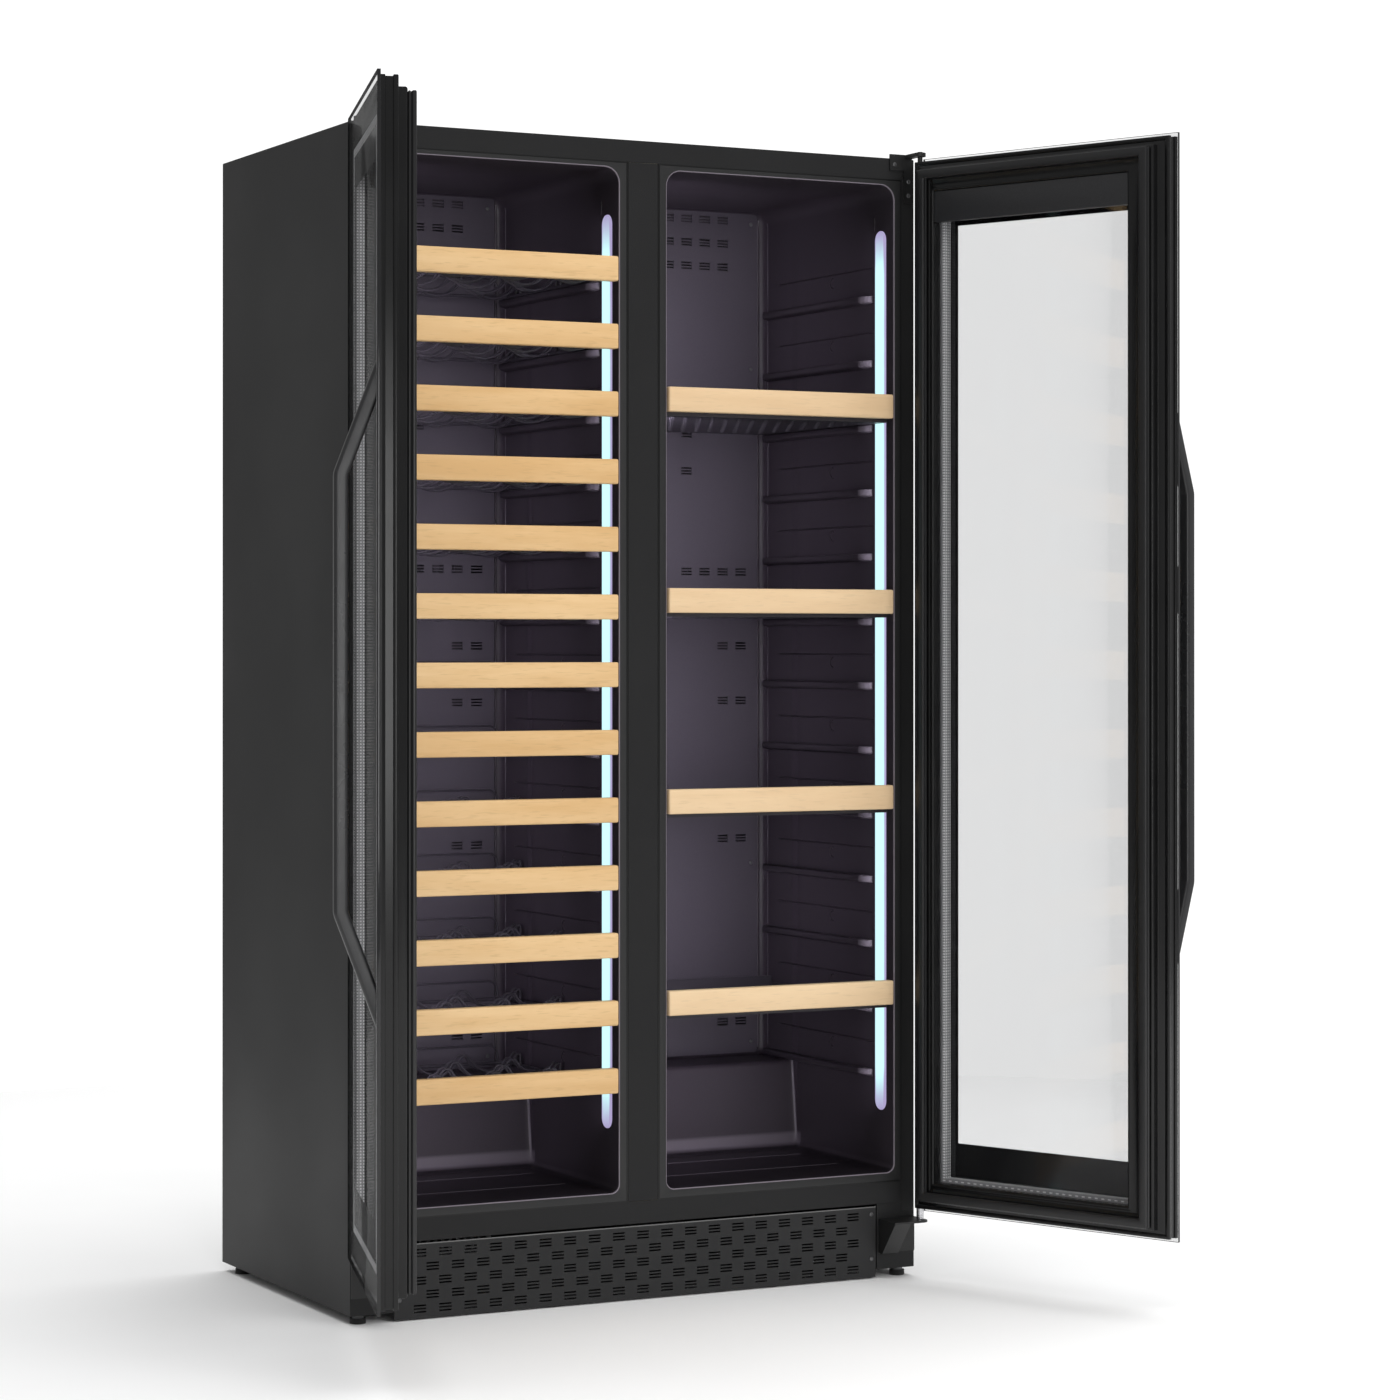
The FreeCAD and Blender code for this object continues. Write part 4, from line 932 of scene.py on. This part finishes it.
def liner_shell(sizes):
    """Closed moulded shell of the right-hand zone: flange, walls, floor, step, back and air space."""
    left, right, low, high = CAVITY
    run = [(LIP_ROUND, low), (STEP_FOOT, low), (STEP_BACK, STEP_TOP), (BACK_WALL - sizes.back_cove, STEP_TOP)]
    floor = bent(run, [sizes.foot_cove, sizes.step_round])
    cove = [(pi / 2 * k / 6) for k in range(7)]

    def loop(grow, y, bottom, inset=0.0, corner=0.0):
        push = inset - grow
        flat = rounded(
            left + push,
            right - push,
            bottom + push,
            high - push,
            sizes.top_corner + corner,
            sizes.bottom_corner + corner,
        )
        return [(x, y, z) for x, z in flat]

    def air(grow, y):
        a, b, c, d = PLENUM
        return [(x, y, z) for x, z in rounded(a - grow, b + grow, c - grow, d + grow, 0.006, steps=6)]

    inside = [air(0.0, PLENUM_BACK), air(0.0, BACK_WALL)]
    for angle in reversed(cove):
        inset = sizes.back_cove * (1 - cos(angle))
        inside.append(loop(0.0, BACK_WALL - sizes.back_cove * (1 - sin(angle)), STEP_TOP, inset))
    inside += [loop(0.0, y, bottom) for y, bottom in reversed(floor)]
    for angle in (pi / 4, pi / 2):
        grow = LIP_ROUND * (1 - cos(angle))
        inside.append(loop(grow, LIP_ROUND * (1 - sin(angle)), low))
    edge = [(x, z) for x, z in rounded(*FLANGE, 0.001, steps=6)]
    inside += [[(x, 0.0, z) for x, z in edge], [(x, sizes.wall, z) for x, z in edge]]
    wall = sizes.wall
    outside = [loop(wall, y + (wall if y > 0.2 else 0.001), bottom) for y, bottom in floor]
    outside.append(loop(wall, BACK_WALL + wall, STEP_TOP))
    outside += [air(wall, BACK_WALL + wall), air(wall, PLENUM_BACK + wall)]
    return Shape().loft(inside + outside)


def rib_pair(sizes):
    """The two side ribs of one level, tapering in at their fronts."""
    shape = Shape()
    left, right = CAVITY[:2]
    low, high = RIB_TOP - sizes.rib_height, RIB_TOP
    front = [(0.067, 0.10), (0.070, 0.42), (0.076, 0.74), (0.083, 0.93), (0.088, 1.0)]
    stations = front + [(0.412, 1.0), (0.417, 0.8), (0.418, 0.3)]
    for wall, inward in ((left, 1), (right, -1)):
        loops = []
        for y, share in stations:
            reach = sizes.rib_reach * share
            soft = min(0.0035, reach * 0.45)
            section = [(-0.001, low - 0.003), (reach, low), (reach, high), (-0.001, high)]
            flat = bent(section, [soft, soft * 0.8], steps=4)
            loops.append([(wall + inward * x, y, z) for x, z in flat])
        shape.loft(loops)
    return shape


class COOLER_OT_liners(Operator):
    """Builds the two moulded liners with their ribs"""

    bl_idname = "cooler.liners"
    bl_label = "Liners"

    def execute(self, context):
        sizes = settings("liner")
        finish = liner_moulding()
        ribs = repeats_in_line().grow(
            rib_pair(sizes).mesh("ribs"),
            {"Count": RIB_COUNT, "Step": (0.0, 0.0, -RIB_STEP), "Material": finish},
        )
        whole = gathered([liner_shell(sizes).mesh("shell"), ribs])
        for side, mirror in (("right", 1.0), ("left", -1.0)):
            turned = Matrix.Scale(mirror, 4, (1.0, 0.0, 0.0))
            name, node = "liner_shell_" + side, "liner_" + side
            dressed(name, whole.copy(), finish, "cabinet", (node,), 38.0, turned)
        return {"FINISHED"}


class COOLER_OT_lights(Operator):
    """Builds the four light strips with softly domed faces"""

    bl_idname = "cooler.lights"
    bl_label = "Light Strips"

    def execute(self, context):
        shape = Shape()
        for points in solid_parts("light_strips"):
            low, high = limits(points)
            middle = (low.x + high.x) / 2
            faces_right = abs(middle) > (CAVITY[0] + CAVITY[1]) / 2
            inward = -1.0 if (middle > 0) == faces_right else 1.0
            wall, front = (high.x, low.x) if inward < 0 else (low.x, high.x)
            half = (high.y - low.y) / 2
            loops = []
            for share, inset in ((0.0, 0.0), (0.5, 0.0), (0.78, 0.0006), (0.93, 0.0018), (1.0, 0.0045)):
                x = wall + (front - wall) * share
                edges = (low.y + inset, high.y - inset, low.z + inset, high.z - inset)
                flat = rounded(*edges, half - inset - 1e-5, steps=12)
                loops.append([(x, y, z) for y, z in flat])
            shape.loft(loops)
        mesh, finish = shape.mesh("lights"), light_diffuser()
        dressed("light_diffusers", mesh, finish, "cabinet", ("light_strips",), 60.0)
        return {"FINISHED"}


HEAD_RADIUS = 0.0034
HEAD_HEIGHT = 0.0018
SHANK_RADIUS = 0.0025


def screw_head():
    """Pan head with a cross recess, standing on its own origin."""
    angles = [2 * pi * k / 20 for k in range(20)]
    arms = [0.42 if min(abs(sin(a)), abs(cos(a))) < 0.33 else 0.17 for a in angles]
    dome = ((1.0, -0.0004), (1.0, 0.35), (0.93, 0.62), (0.78, 0.85), (0.6, 0.96), (0.52, 1.0))
    loops = []
    for share, rise in dome:
        reach = HEAD_RADIUS * share
        loops.append([(reach * cos(a), reach * sin(a), HEAD_HEIGHT * rise) for a in angles])
    for rise in (1.0, 0.45):
        reaches = [HEAD_RADIUS * arm for arm in arms]
        loops.append([(r * cos(a), r * sin(a), HEAD_HEIGHT * rise) for r, a in zip(reaches, angles)])
    return Shape().loft(loops).mesh("screw_head")


class COOLER_OT_screws(Operator):
    """Sets a cross-recessed head at every screw"""

    bl_idname = "cooler.screws"
    bl_label = "Screws"

    def execute(self, context):
        places, facings = [], []
        for points in solid_parts("screws"):
            low, high = limits(points)
            spans = [round(span, 5) for span in high - low]
            axis = min(range(3), key=lambda k: abs(spans[(k + 1) % 3] - spans[(k + 2) % 3]))
            middle = (low + high) / 2
            along = Vector(1.0 if k == axis else 0.0 for k in range(3))
            wide = [p for p in points if (p - middle).cross(along).length > SHANK_RADIUS]
            head = sum((p[axis] for p in wide), 0.0) / len(wide)
            outward = 1.0 if head > middle[axis] else -1.0
            place = middle.copy()
            place[axis] = (high if outward > 0 else low)[axis] - outward * HEAD_HEIGHT
            places.append(place)
            facings.append(along * outward)
        mesh = bpy.data.meshes.new("places")
        mesh.from_pydata(places, [], [])
        stored = mesh.attributes.new("facing", "FLOAT_VECTOR", "POINT")
        stored.data.foreach_set("vector", [part for facing in facings for part in facing])
        head = bpy.data.objects.new("screw_head", screw_head())
        bpy.context.scene.collection.objects.link(head)
        finish = screw_steel()
        grown = heads_on_places().grow(mesh, {"Head": head, "Material": finish})
        bpy.data.objects.remove(head)
        dressed("screw_heads", grown, finish, "cabinet", ("screws",), 35.0)
        return {"FINISHED"}


# ------------------------------------------------------------------ racks and shelves


RUNNER_HALF = 0.1932
RUNNER_Z = 0.0033
REAR_Y = 0.398
BOARD_BACK = 0.014
RUNNER_CORNER = 0.022
GUARD_INSET = 0.016
GUARD_TOP = 0.032
CUP_LOW = -0.004
FIRST_PAIR = 0.050
LAST_PAIR = 0.352


def wave_path(sizes, offset):
    """One waved wire seen from the front: X and Z from runner to runner."""
    pitch = 2 * RUNNER_HALF / sizes.cups
    total = ((pitch / 2) ** 2 + sizes.cup_depth**2) / (2 * sizes.cup_depth)
    cup = total - sizes.crest
    slope = asin(pitch / 2 / total)
    top = CUP_LOW + sizes.cup_depth

    def crest(x, start=-1.0, end=1.0, steps=8):
        angles = [slope * (start + (end - start) * k / steps) for k in range(steps + 1)]
        return [(x + sizes.crest * sin(a), top - sizes.crest * (1 - cos(a))) for a in angles]

    def hollow(x, steps=14):
        angles = [slope * (-1 + 2 * k / steps) for k in range(1, steps)]
        return [(x + cup * sin(a), CUP_LOW + cup * (1 - cos(a))) for a in angles]

    if not offset:
        path = [(-RUNNER_HALF, RUNNER_Z), (-RUNNER_HALF, top - 0.0045), (-RUNNER_HALF + 0.0008, top - 0.0018)]
        path += crest(-RUNNER_HALF, 0.42, 1.0, 4)
        for number in range(sizes.cups):
            path += hollow(-RUNNER_HALF + pitch * (number + 0.5))
            if number < sizes.cups - 1:
                path += crest(-RUNNER_HALF + pitch * (number + 1))
        path += [(-x, z) for x, z in reversed(path[:8])]
        return path
    first = -RUNNER_HALF + pitch / 2
    joint = CUP_LOW + cup * (1 - cos(slope))
    rise = (joint - RUNNER_Z) / (1 - cos(slope))
    start = first - sizes.crest * sin(slope) - rise * sin(slope)
    lead = [(-RUNNER_HALF, RUNNER_Z)]
    bends = [slope * k / 7 for k in range(7)]
    lead += [(start + rise * sin(a), RUNNER_Z + rise * (1 - cos(a))) for a in bends]
    path = list(lead)
    for number in range(sizes.cups):
        path += crest(first + pitch * number)
        if number < sizes.cups - 1:
            path += hollow(first + pitch * (number + 0.5))
    return path + [(-x, z) for x, z in reversed(lead)]


def rack_wires(sizes, finish):
    """Template of one wire rack: runner, rear guard and its pairs of waved wires."""
    growth = wires_in_rows()
    half = RUNNER_HALF
    runner = [(-half, BOARD_BACK), (-half, REAR_Y), (half, REAR_Y), (half, BOARD_BACK)]
    runner = bent(runner, RUNNER_CORNER, 10)
    reach = half - GUARD_INSET
    guard = [(-reach, RUNNER_Z), (-reach, GUARD_TOP), (reach, GUARD_TOP), (reach, RUNNER_Z)]
    guard = bent(guard, GUARD_INSET, 8)
    pair_step = (LAST_PAIR - FIRST_PAIR) / (sizes.pairs - 1)
    gap = sizes.pair_gap / 2

    def pair(offset, y):
        flat = wave_path(sizes, offset)
        return [[(x, y + shift, z) for x, z in flat] for shift in (-gap, gap)]

    batches = [
        ([[(x, y, RUNNER_Z) for x, y in runner]], sizes.runner, 12, 1),
        ([[(x, REAR_Y, z) for x, z in guard]], sizes.wave, 10, 1),
        (pair(False, FIRST_PAIR), sizes.wave, 8, (sizes.pairs + 1) // 2),
        (pair(True, FIRST_PAIR + pair_step), sizes.wave, 8, sizes.pairs // 2),
    ]
    meshes = []
    step = (0.0, 2 * pair_step, 0.0)
    for paths, radius, sides, rows in batches:
        values = {"Radius": radius, "Sides": sides, "Rows": rows, "Step": step, "Material": finish}
        meshes.append(growth.grow(path_mesh(paths), values))
    return gathered(meshes)


class COOLER_OT_racks(Operator):
    """Builds the wire racks of the left zone"""

    bl_idname = "cooler.racks"
    bl_label = "Wire Racks"

    def execute(self, context):
        finish = wire_coat()
        template = rack_wires(settings("wires"), finish)
        for number in range(1, RIB_COUNT + 1):
            tag = f"{number:02d}"
            low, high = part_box("wine_rack_" + tag)
            place = Matrix.Translation(((low.x + high.x) / 2, 0.0, RIB_TOP - RIB_STEP * (number - 1)))
            mesh, body, node = template.copy(), "rack_" + tag, "wine_rack_" + tag
            dressed("rack_wires_" + tag, mesh, finish, body, (node,), 50.0, place)
        return {"FINISHED"}


class COOLER_OT_shelves(Operator):
    """Finishes the perforated shelves of the right zone"""

    bl_idname = "cooler.shelves"
    bl_label = "Shelves"

    def execute(self, context):
        finish = tray_coat()
        for number in range(1, 5):
            paint(f"shelf_{number:02d}", finish)
        return {"FINISHED"}


class COOLER_OT_boards(Operator):
    """Builds the softly rounded beech fronts"""

    bl_idname = "cooler.boards"
    bl_label = "Beech Fronts"

    def execute(self, context):
        finish = beech()
        radius = settings("doors").board_round
        fronts = [(f"wine_rack_front_{k:02d}", f"rack_{k:02d}") for k in range(1, RIB_COUNT + 1)]
        fronts += [(f"shelf_front_{k:02d}", f"slide_shelf_{k:02d}") for k in range(1, 5)]
        for node, body in fronts:
            low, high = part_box(node)
            name, mesh = node.replace("front", "board"), block(low, high, radius)
            dressed(name, mesh, finish, body, (node,), 50.0)
        return {"FINISHED"}


# ------------------------------------------------------------------ doors


FACE = -0.056
GLASS_BACK = -0.051
FRAME_BACK = -0.027
CARRIER_BACK = -0.013
SEAL_BACK = -0.0003
EDGE = (0.0015, 0.479, 0.111, 1.762)
CARRIER = (0.021, 0.4595, 0.124, 1.749)
SEAL = (0.025, 0.4555, 0.128, 1.745)
WINDOW = (0.067, 0.4315, 0.156, 1.711)
CLEAR = (0.0798, 0.4103, 0.217, 1.6584)
HEADER_FRONT = -0.025
HEADER_BACK = -0.015
HEADER_HEIGHT = 0.0484
HEADER_GAP = 0.0002
PANE_FRONT = -0.036
PANE_BACK = -0.032
PANE_OUTER = (0.001, 0.4795, 0.104, 1.769)
PANE_INNER = (0.061, 0.4375, 0.150, 1.717)


def opened(side):
    """Moves a piece of the right-hand door, built closed, to where it stands open on its side."""
    joint = next(joint for joint in frame["joints"] if joint["name"] == side + "_door_hinge")
    pivot = Vector(joint["pos_m"])
    angle = radians(-joint["range_deg"][0])
    turn = Matrix.Rotation(angle, 4, Vector(joint["axis"]))
    move = Matrix.Translation(pivot) @ turn @ Matrix.Translation(-pivot)
    if side == "left":
        move = move @ Matrix.Scale(-1.0, 4, (1.0, 0.0, 0.0))
    return move


def frame_profile(groove):
    """Section of the door frame and seal carrier, as rectangles with insets and depths."""
    return [
        (EDGE, 0.0, GLASS_BACK),
        (EDGE, 0.0, -0.0455),
        (EDGE, 0.0005, -0.0450),
        (EDGE, groove, -0.0447),
        (EDGE, groove, -0.0343),
        (EDGE, 0.0005, -0.0340),
        (EDGE, 0.0, -0.0335),
        (EDGE, 0.0, -0.0285),
        (EDGE, 0.0005, -0.0274),
        (EDGE, 0.0016, FRAME_BACK),
        (EDGE, 0.0062, FRAME_BACK),
        (EDGE, 0.0068, -0.0278),
        (EDGE, 0.0078, -0.0278),
        (EDGE, 0.0084, FRAME_BACK),
        (CARRIER, -0.0012, FRAME_BACK),
        (CARRIER, -0.0004, -0.0262),
        (CARRIER, 0.0, -0.0250),
        (CARRIER, 0.0, -0.0160),
        (CARRIER, 0.0008, -0.0140),
        (CARRIER, 0.0024, CARRIER_BACK),
        (SEAL, 0.0010, CARRIER_BACK),
        (SEAL, 0.0020, -0.0150),
        (SEAL, 0.0120, -0.0150),
        (SEAL, 0.0130, CARRIER_BACK),
        (SEAL, 0.0165, CARRIER_BACK),
        (SEAL, 0.0172, -0.0137),
        (WINDOW, -0.0062, -0.0143),
        (WINDOW, -0.0050, -0.0133),
        (WINDOW, -0.0026, -0.0131),
        (WINDOW, -0.0009, -0.0138),
        (WINDOW, -0.0001, -0.0154),
        (WINDOW, 0.0, -0.0200),
        (WINDOW, 0.0, PANE_BACK),
        (WINDOW, -0.0063, PANE_BACK),
        (WINDOW, -0.0063, GLASS_BACK),
    ]


SEAL_SECTION = (
    (0.0030, -0.0148),
    (0.0028, -0.0128),
    (0.0008, -0.0116),
    (0.0002, -0.0100),
    (0.0012, -0.0086),
    (0.0016, -0.0076),
    (0.0006, -0.0064),
    (0.0, -0.0050),
    (0.0, -0.0020),
    (0.0006, -0.0008),
    (0.0018, SEAL_BACK),
)


class COOLER_OT_doors(Operator):
    """Builds the door frames, header bars, pane spacers and printed borders, and clears the glass"""

    bl_idname = "cooler.doors"
    bl_label = "Doors"

    def execute(self, context):
        sizes = settings("doors")
        finishes = (door_plastic(), header_metal(), spacer_metal(), gloss_black())
        panes = (
            ("_outer_pane", PANE_OUTER, FACE, GLASS_BACK, pane_glass("outer_glass", 0.15, 0.05)),
            ("_inner_pane", PANE_INNER, PANE_FRONT, PANE_BACK, pane_glass("inner_glass", 0.12, 0.02)),
        )
        for side in ("right", "left"):
            body = side + "_door"
            place = opened(side)
            node = side + "_door_frame"

            def fit(name, mesh, finish, node=node):
                return dressed(side + name, mesh, finish, body, (node,), 50.0, place)

            outline = Shape().loft(ringed(frame_profile(sizes.groove)), joined=True)
            fit("_frame_mould", outline.mesh("frame"), finishes[0])
            left, right, low, high = WINDOW
            low_corner = (left + HEADER_GAP, HEADER_FRONT, high - HEADER_HEIGHT - HEADER_GAP)
            high_corner = (right - HEADER_GAP, HEADER_BACK, high - HEADER_GAP)
            fit("_header_bar", block(low_corner, high_corner, 0.0012), finishes[1])
            bar = [
                (WINDOW, -0.006, GLASS_BACK + 0.0001),
                (WINDOW, 0.0055, GLASS_BACK + 0.0001),
                (WINDOW, 0.006, GLASS_BACK + 0.0006),
                (WINDOW, 0.006, -0.0366),
                (WINDOW, 0.0055, -0.0361),
                (WINDOW, -0.006, -0.0361),
            ]
            spacer = Shape().loft(ringed(bar), joined=True)
            fit("_pane_spacer", spacer.mesh("spacer"), finishes[2])
            print_back = GLASS_BACK + 0.0006
            border = [
                (WINDOW, 0.0062, GLASS_BACK + 0.0002),
                (CLEAR, 0.0, GLASS_BACK + 0.0002),
                (CLEAR, 0.0, print_back),
                (WINDOW, 0.0062, print_back),
            ]
            rim = Shape().loft(ringed(border), joined=True)
            fit("_glass_border", rim.mesh("border"), finishes[3])
            for label, (left, right, low, high), front, back, glass in panes:
                pane = block((left, front, low), (right, back, high), 0.0004, 2)
                piece = fit(label, pane, glass, side + "_door_panes")
                piece.data.materials.append(finishes[3])
                facing = place.to_3x3() @ Vector((0.0, 1.0, 0.0))
                for face in piece.data.polygons:
                    face.material_index = 0 if abs(face.normal.dot(facing)) > 0.6 else 1
        paint("control_panel", finishes[3])
        return {"FINISHED"}


class COOLER_OT_seals(Operator):
    """Builds the bellows seals round the doors"""

    bl_idname = "cooler.seals"
    bl_label = "Door Seals"

    def execute(self, context):
        width = settings("doors").seal_width
        finish = seal_rubber()
        section = list(SEAL_SECTION) + [(width - inset, y) for inset, y in reversed(SEAL_SECTION)]
        for side in ("right", "left"):
            ring = Shape().loft(ringed([(SEAL, inset, y) for inset, y in section]), joined=True)
            mesh, body, node = ring.mesh("seal"), side + "_door", side + "_door_gasket"
            dressed(side + "_seal", mesh, finish, body, (node,), 60.0, opened(side))
        return {"FINISHED"}


GRIP_MIDDLE = 0.93
HANDLE_LOW = 0.489
HANDLE_HIGH = 1.381
HANDLE_SLOPE = 0.151
HANDLE_REACH = 0.057
HANDLE_THICK = 0.020
HANDLE_CENTRE = 0.019


def handle_mesh(sizes):
    """Bow handle lofted along its bends, with its feet cut flush with the glass."""
    low, high, slope, thick = HANDLE_LOW, HANDLE_HIGH, HANDLE_SLOPE, HANDLE_THICK
    outer, inner = FACE - HANDLE_REACH, FACE - HANDLE_REACH + thick
    foot = thick * sqrt(HANDLE_REACH**2 + slope**2) / HANDLE_REACH
    lift = slope * (FACE - inner) / HANDLE_REACH + foot
    outside = [(FACE, low), (outer, low + slope), (outer, high - slope), (FACE, high)]
    inside = [(FACE, low + foot), (inner, low + lift), (inner, high - lift), (FACE, high - foot)]
    half = sizes.handle_width / 2
    flat = rounded(-half, half, 0.0, thick, sizes.handle_round, steps=6)
    loops = []
    for start, end in zip(bent(outside, 0.030, 10), bent(inside, 0.014, 10)):
        start, end = Vector(start), Vector(end)
        rows = [(HANDLE_CENTRE + x, start.lerp(end, depth / thick)) for x, depth in flat]
        loops.append([(x, y, z) for x, (y, z) in rows])
    return Shape().loft(loops).mesh("handle")


class COOLER_OT_handles(Operator):
    """Builds the two bow handles"""

    bl_idname = "cooler.handles"
    bl_label = "Handles"

    def execute(self, context):
        finish = handle_paint()
        for side in ("right", "left"):
            mesh = handle_mesh(settings("doors"))
            name, body, node = side + "_bow_handle", side + "_door", side + "_door_handle"
            dressed(name, mesh, finish, body, (node,), 45.0, opened(side))
        return {"FINISHED"}


# ------------------------------------------------------------------ studio


FLOOR_SIDES = 96
FLOOR_REACH = 3.0


def area_light(name, power, place, target, width, height):
    light = bpy.data.lights.new(name, "AREA")
    light.shape = "RECTANGLE"
    light.size, light.size_y = width, height
    light.energy = power
    lamp = bpy.data.objects.new(name, light)
    lamp.location = place
    lamp.rotation_euler = (Vector(target) - Vector(place)).to_track_quat("-Z", "Y").to_euler()
    bpy.context.scene.collection.objects.link(lamp)
    lamp.visible_camera = False
    lamp.visible_glossy = False
    return lamp


class COOLER_OT_studio(Operator):
    """Sets up the pale floor, soft light and camera"""

    bl_idname = "cooler.studio"
    bl_label = "Studio"

    def execute(self, context):
        studio = settings("studio")
        scene = context.scene
        camera = bpy.data.objects.new("camera", bpy.data.cameras.new("camera"))
        camera.data.sensor_width = 36.0
        camera.data.lens = studio.lens
        camera.data.shift_y = studio.rise
        camera.data.clip_end = 100.0
        camera.location = studio.place
        camera.rotation_euler = studio.turn
        scene.collection.objects.link(camera)
        scene.camera = camera
        scene.view_settings.view_transform = "Standard"
        world = bpy.data.worlds.new("studio")
        world.use_nodes = True
        scene.world = world
        tree = world.node_tree
        seen = tree.nodes.new("ShaderNodeLightPath")
        level = tree.nodes.new("ShaderNodeMapRange")
        level.inputs["To Min"].default_value = studio.surround
        level.inputs["To Max"].default_value = studio.backdrop
        tree.links.new(seen.outputs["Is Camera Ray"], level.inputs["Value"])
        backdrop = tree.nodes["Background"]
        backdrop.inputs["Color"].default_value = (1.0, 1.0, 1.0, 1.0)
        tree.links.new(level.outputs["Result"], backdrop.inputs["Strength"])
        floor_finish = Finish("studio_floor", roughness=0.9, specular_ior_level=0.1)
        soft = floor_finish.noise(2.0, 2.0).ramp(0.3, 0.7)
        floor_finish.set("base_color", floor_finish.mix(soft, (0.93, 0.93, 0.93), (0.95, 0.95, 0.95)))
        mesh = bpy.data.meshes.new("floor")
        turns = [2 * pi * k / FLOOR_SIDES for k in range(FLOOR_SIDES)]
        points = [(FLOOR_REACH * cos(a), FLOOR_REACH * sin(a), 0.0) for a in turns]
        mesh.from_pydata(points, [], [tuple(range(FLOOR_SIDES))])
        mesh.materials.append(floor_finish.material)
        floor = bpy.data.objects.new("floor", mesh)
        scene.collection.objects.link(floor)
        area_light("overhead", studio.overhead, (0.9, 0.2, 5.0), (0.6, -0.2, 0.0), 7.0, 7.0)
        area_light("front", studio.front, (1.7, -5.5, 2.2), (0.0, 0.0, 0.9), 3.5, 2.5)
        edge = area_light("edge", studio.edge, (-1.8, -5.6, 1.3), (-0.5, -0.3, 0.95), 0.7, 3.0)
        edge.visible_glossy = True
        for points in solid_parts("light_strips"):
            low, high = limits(points)
            start = (low + high) / 2
            zone = (CAVITY[0] + CAVITY[1]) / 2 * (1 if start.x > 0 else -1)
            inward = 1 if zone > start.x else -1
            start.x += inward * 0.006
            power = studio.cabinet * (1.0 if inward > 0 else studio.far_side)
            target = start + Vector((inward * 0.5, 1.0, 0.0))
            strip = area_light("strip", power, start, target, 0.02, high.z - low.z)
            strip.data.spread = radians(120.0)
            strip.data.color = (0.90, 0.86, 1.0)
        return {"FINISHED"}


PIECES = (
    COOLER_OT_studio,
    COOLER_OT_case,
    COOLER_OT_liners,
    COOLER_OT_lights,
    COOLER_OT_screws,
    COOLER_OT_racks,
    COOLER_OT_shelves,
    COOLER_OT_boards,
    COOLER_OT_doors,
    COOLER_OT_seals,
    COOLER_OT_handles,
)


class COOLER_PT_sidebar(Panel):
    """Lists the cooler's pieces and settings"""

    bl_idname = "COOLER_PT_sidebar"
    bl_label = "Wine Cooler"
    bl_space_type = "VIEW_3D"
    bl_region_type = "UI"
    bl_category = "Wine Cooler"

    def draw(self, context):
        for piece in PIECES:
            self.layout.operator(piece.bl_idname)
        for name in GROUPS:
            group = settings(name)
            box = self.layout.box()
            for label in group.bl_rna.properties.keys():
                if label not in ("rna_type", "name"):
                    box.prop(group, label)


def register():
    for kind in (*GROUPS.values(), *PIECES, COOLER_PT_sidebar):
        bpy.utils.register_class(kind)
    for name, group in GROUPS.items():
        setattr(bpy.types.Scene, "cooler_" + name, PointerProperty(type=group))


def unregister():
    for name in GROUPS:
        delattr(bpy.types.Scene, "cooler_" + name)
    for kind in reversed((*GROUPS.values(), *PIECES, COOLER_PT_sidebar)):
        bpy.utils.unregister_class(kind)


def main():
    register()
    for piece in PIECES:
        family, name = piece.bl_idname.split(".")
        getattr(getattr(bpy.ops, family), name)()


if __name__ == "__main__":
    main()
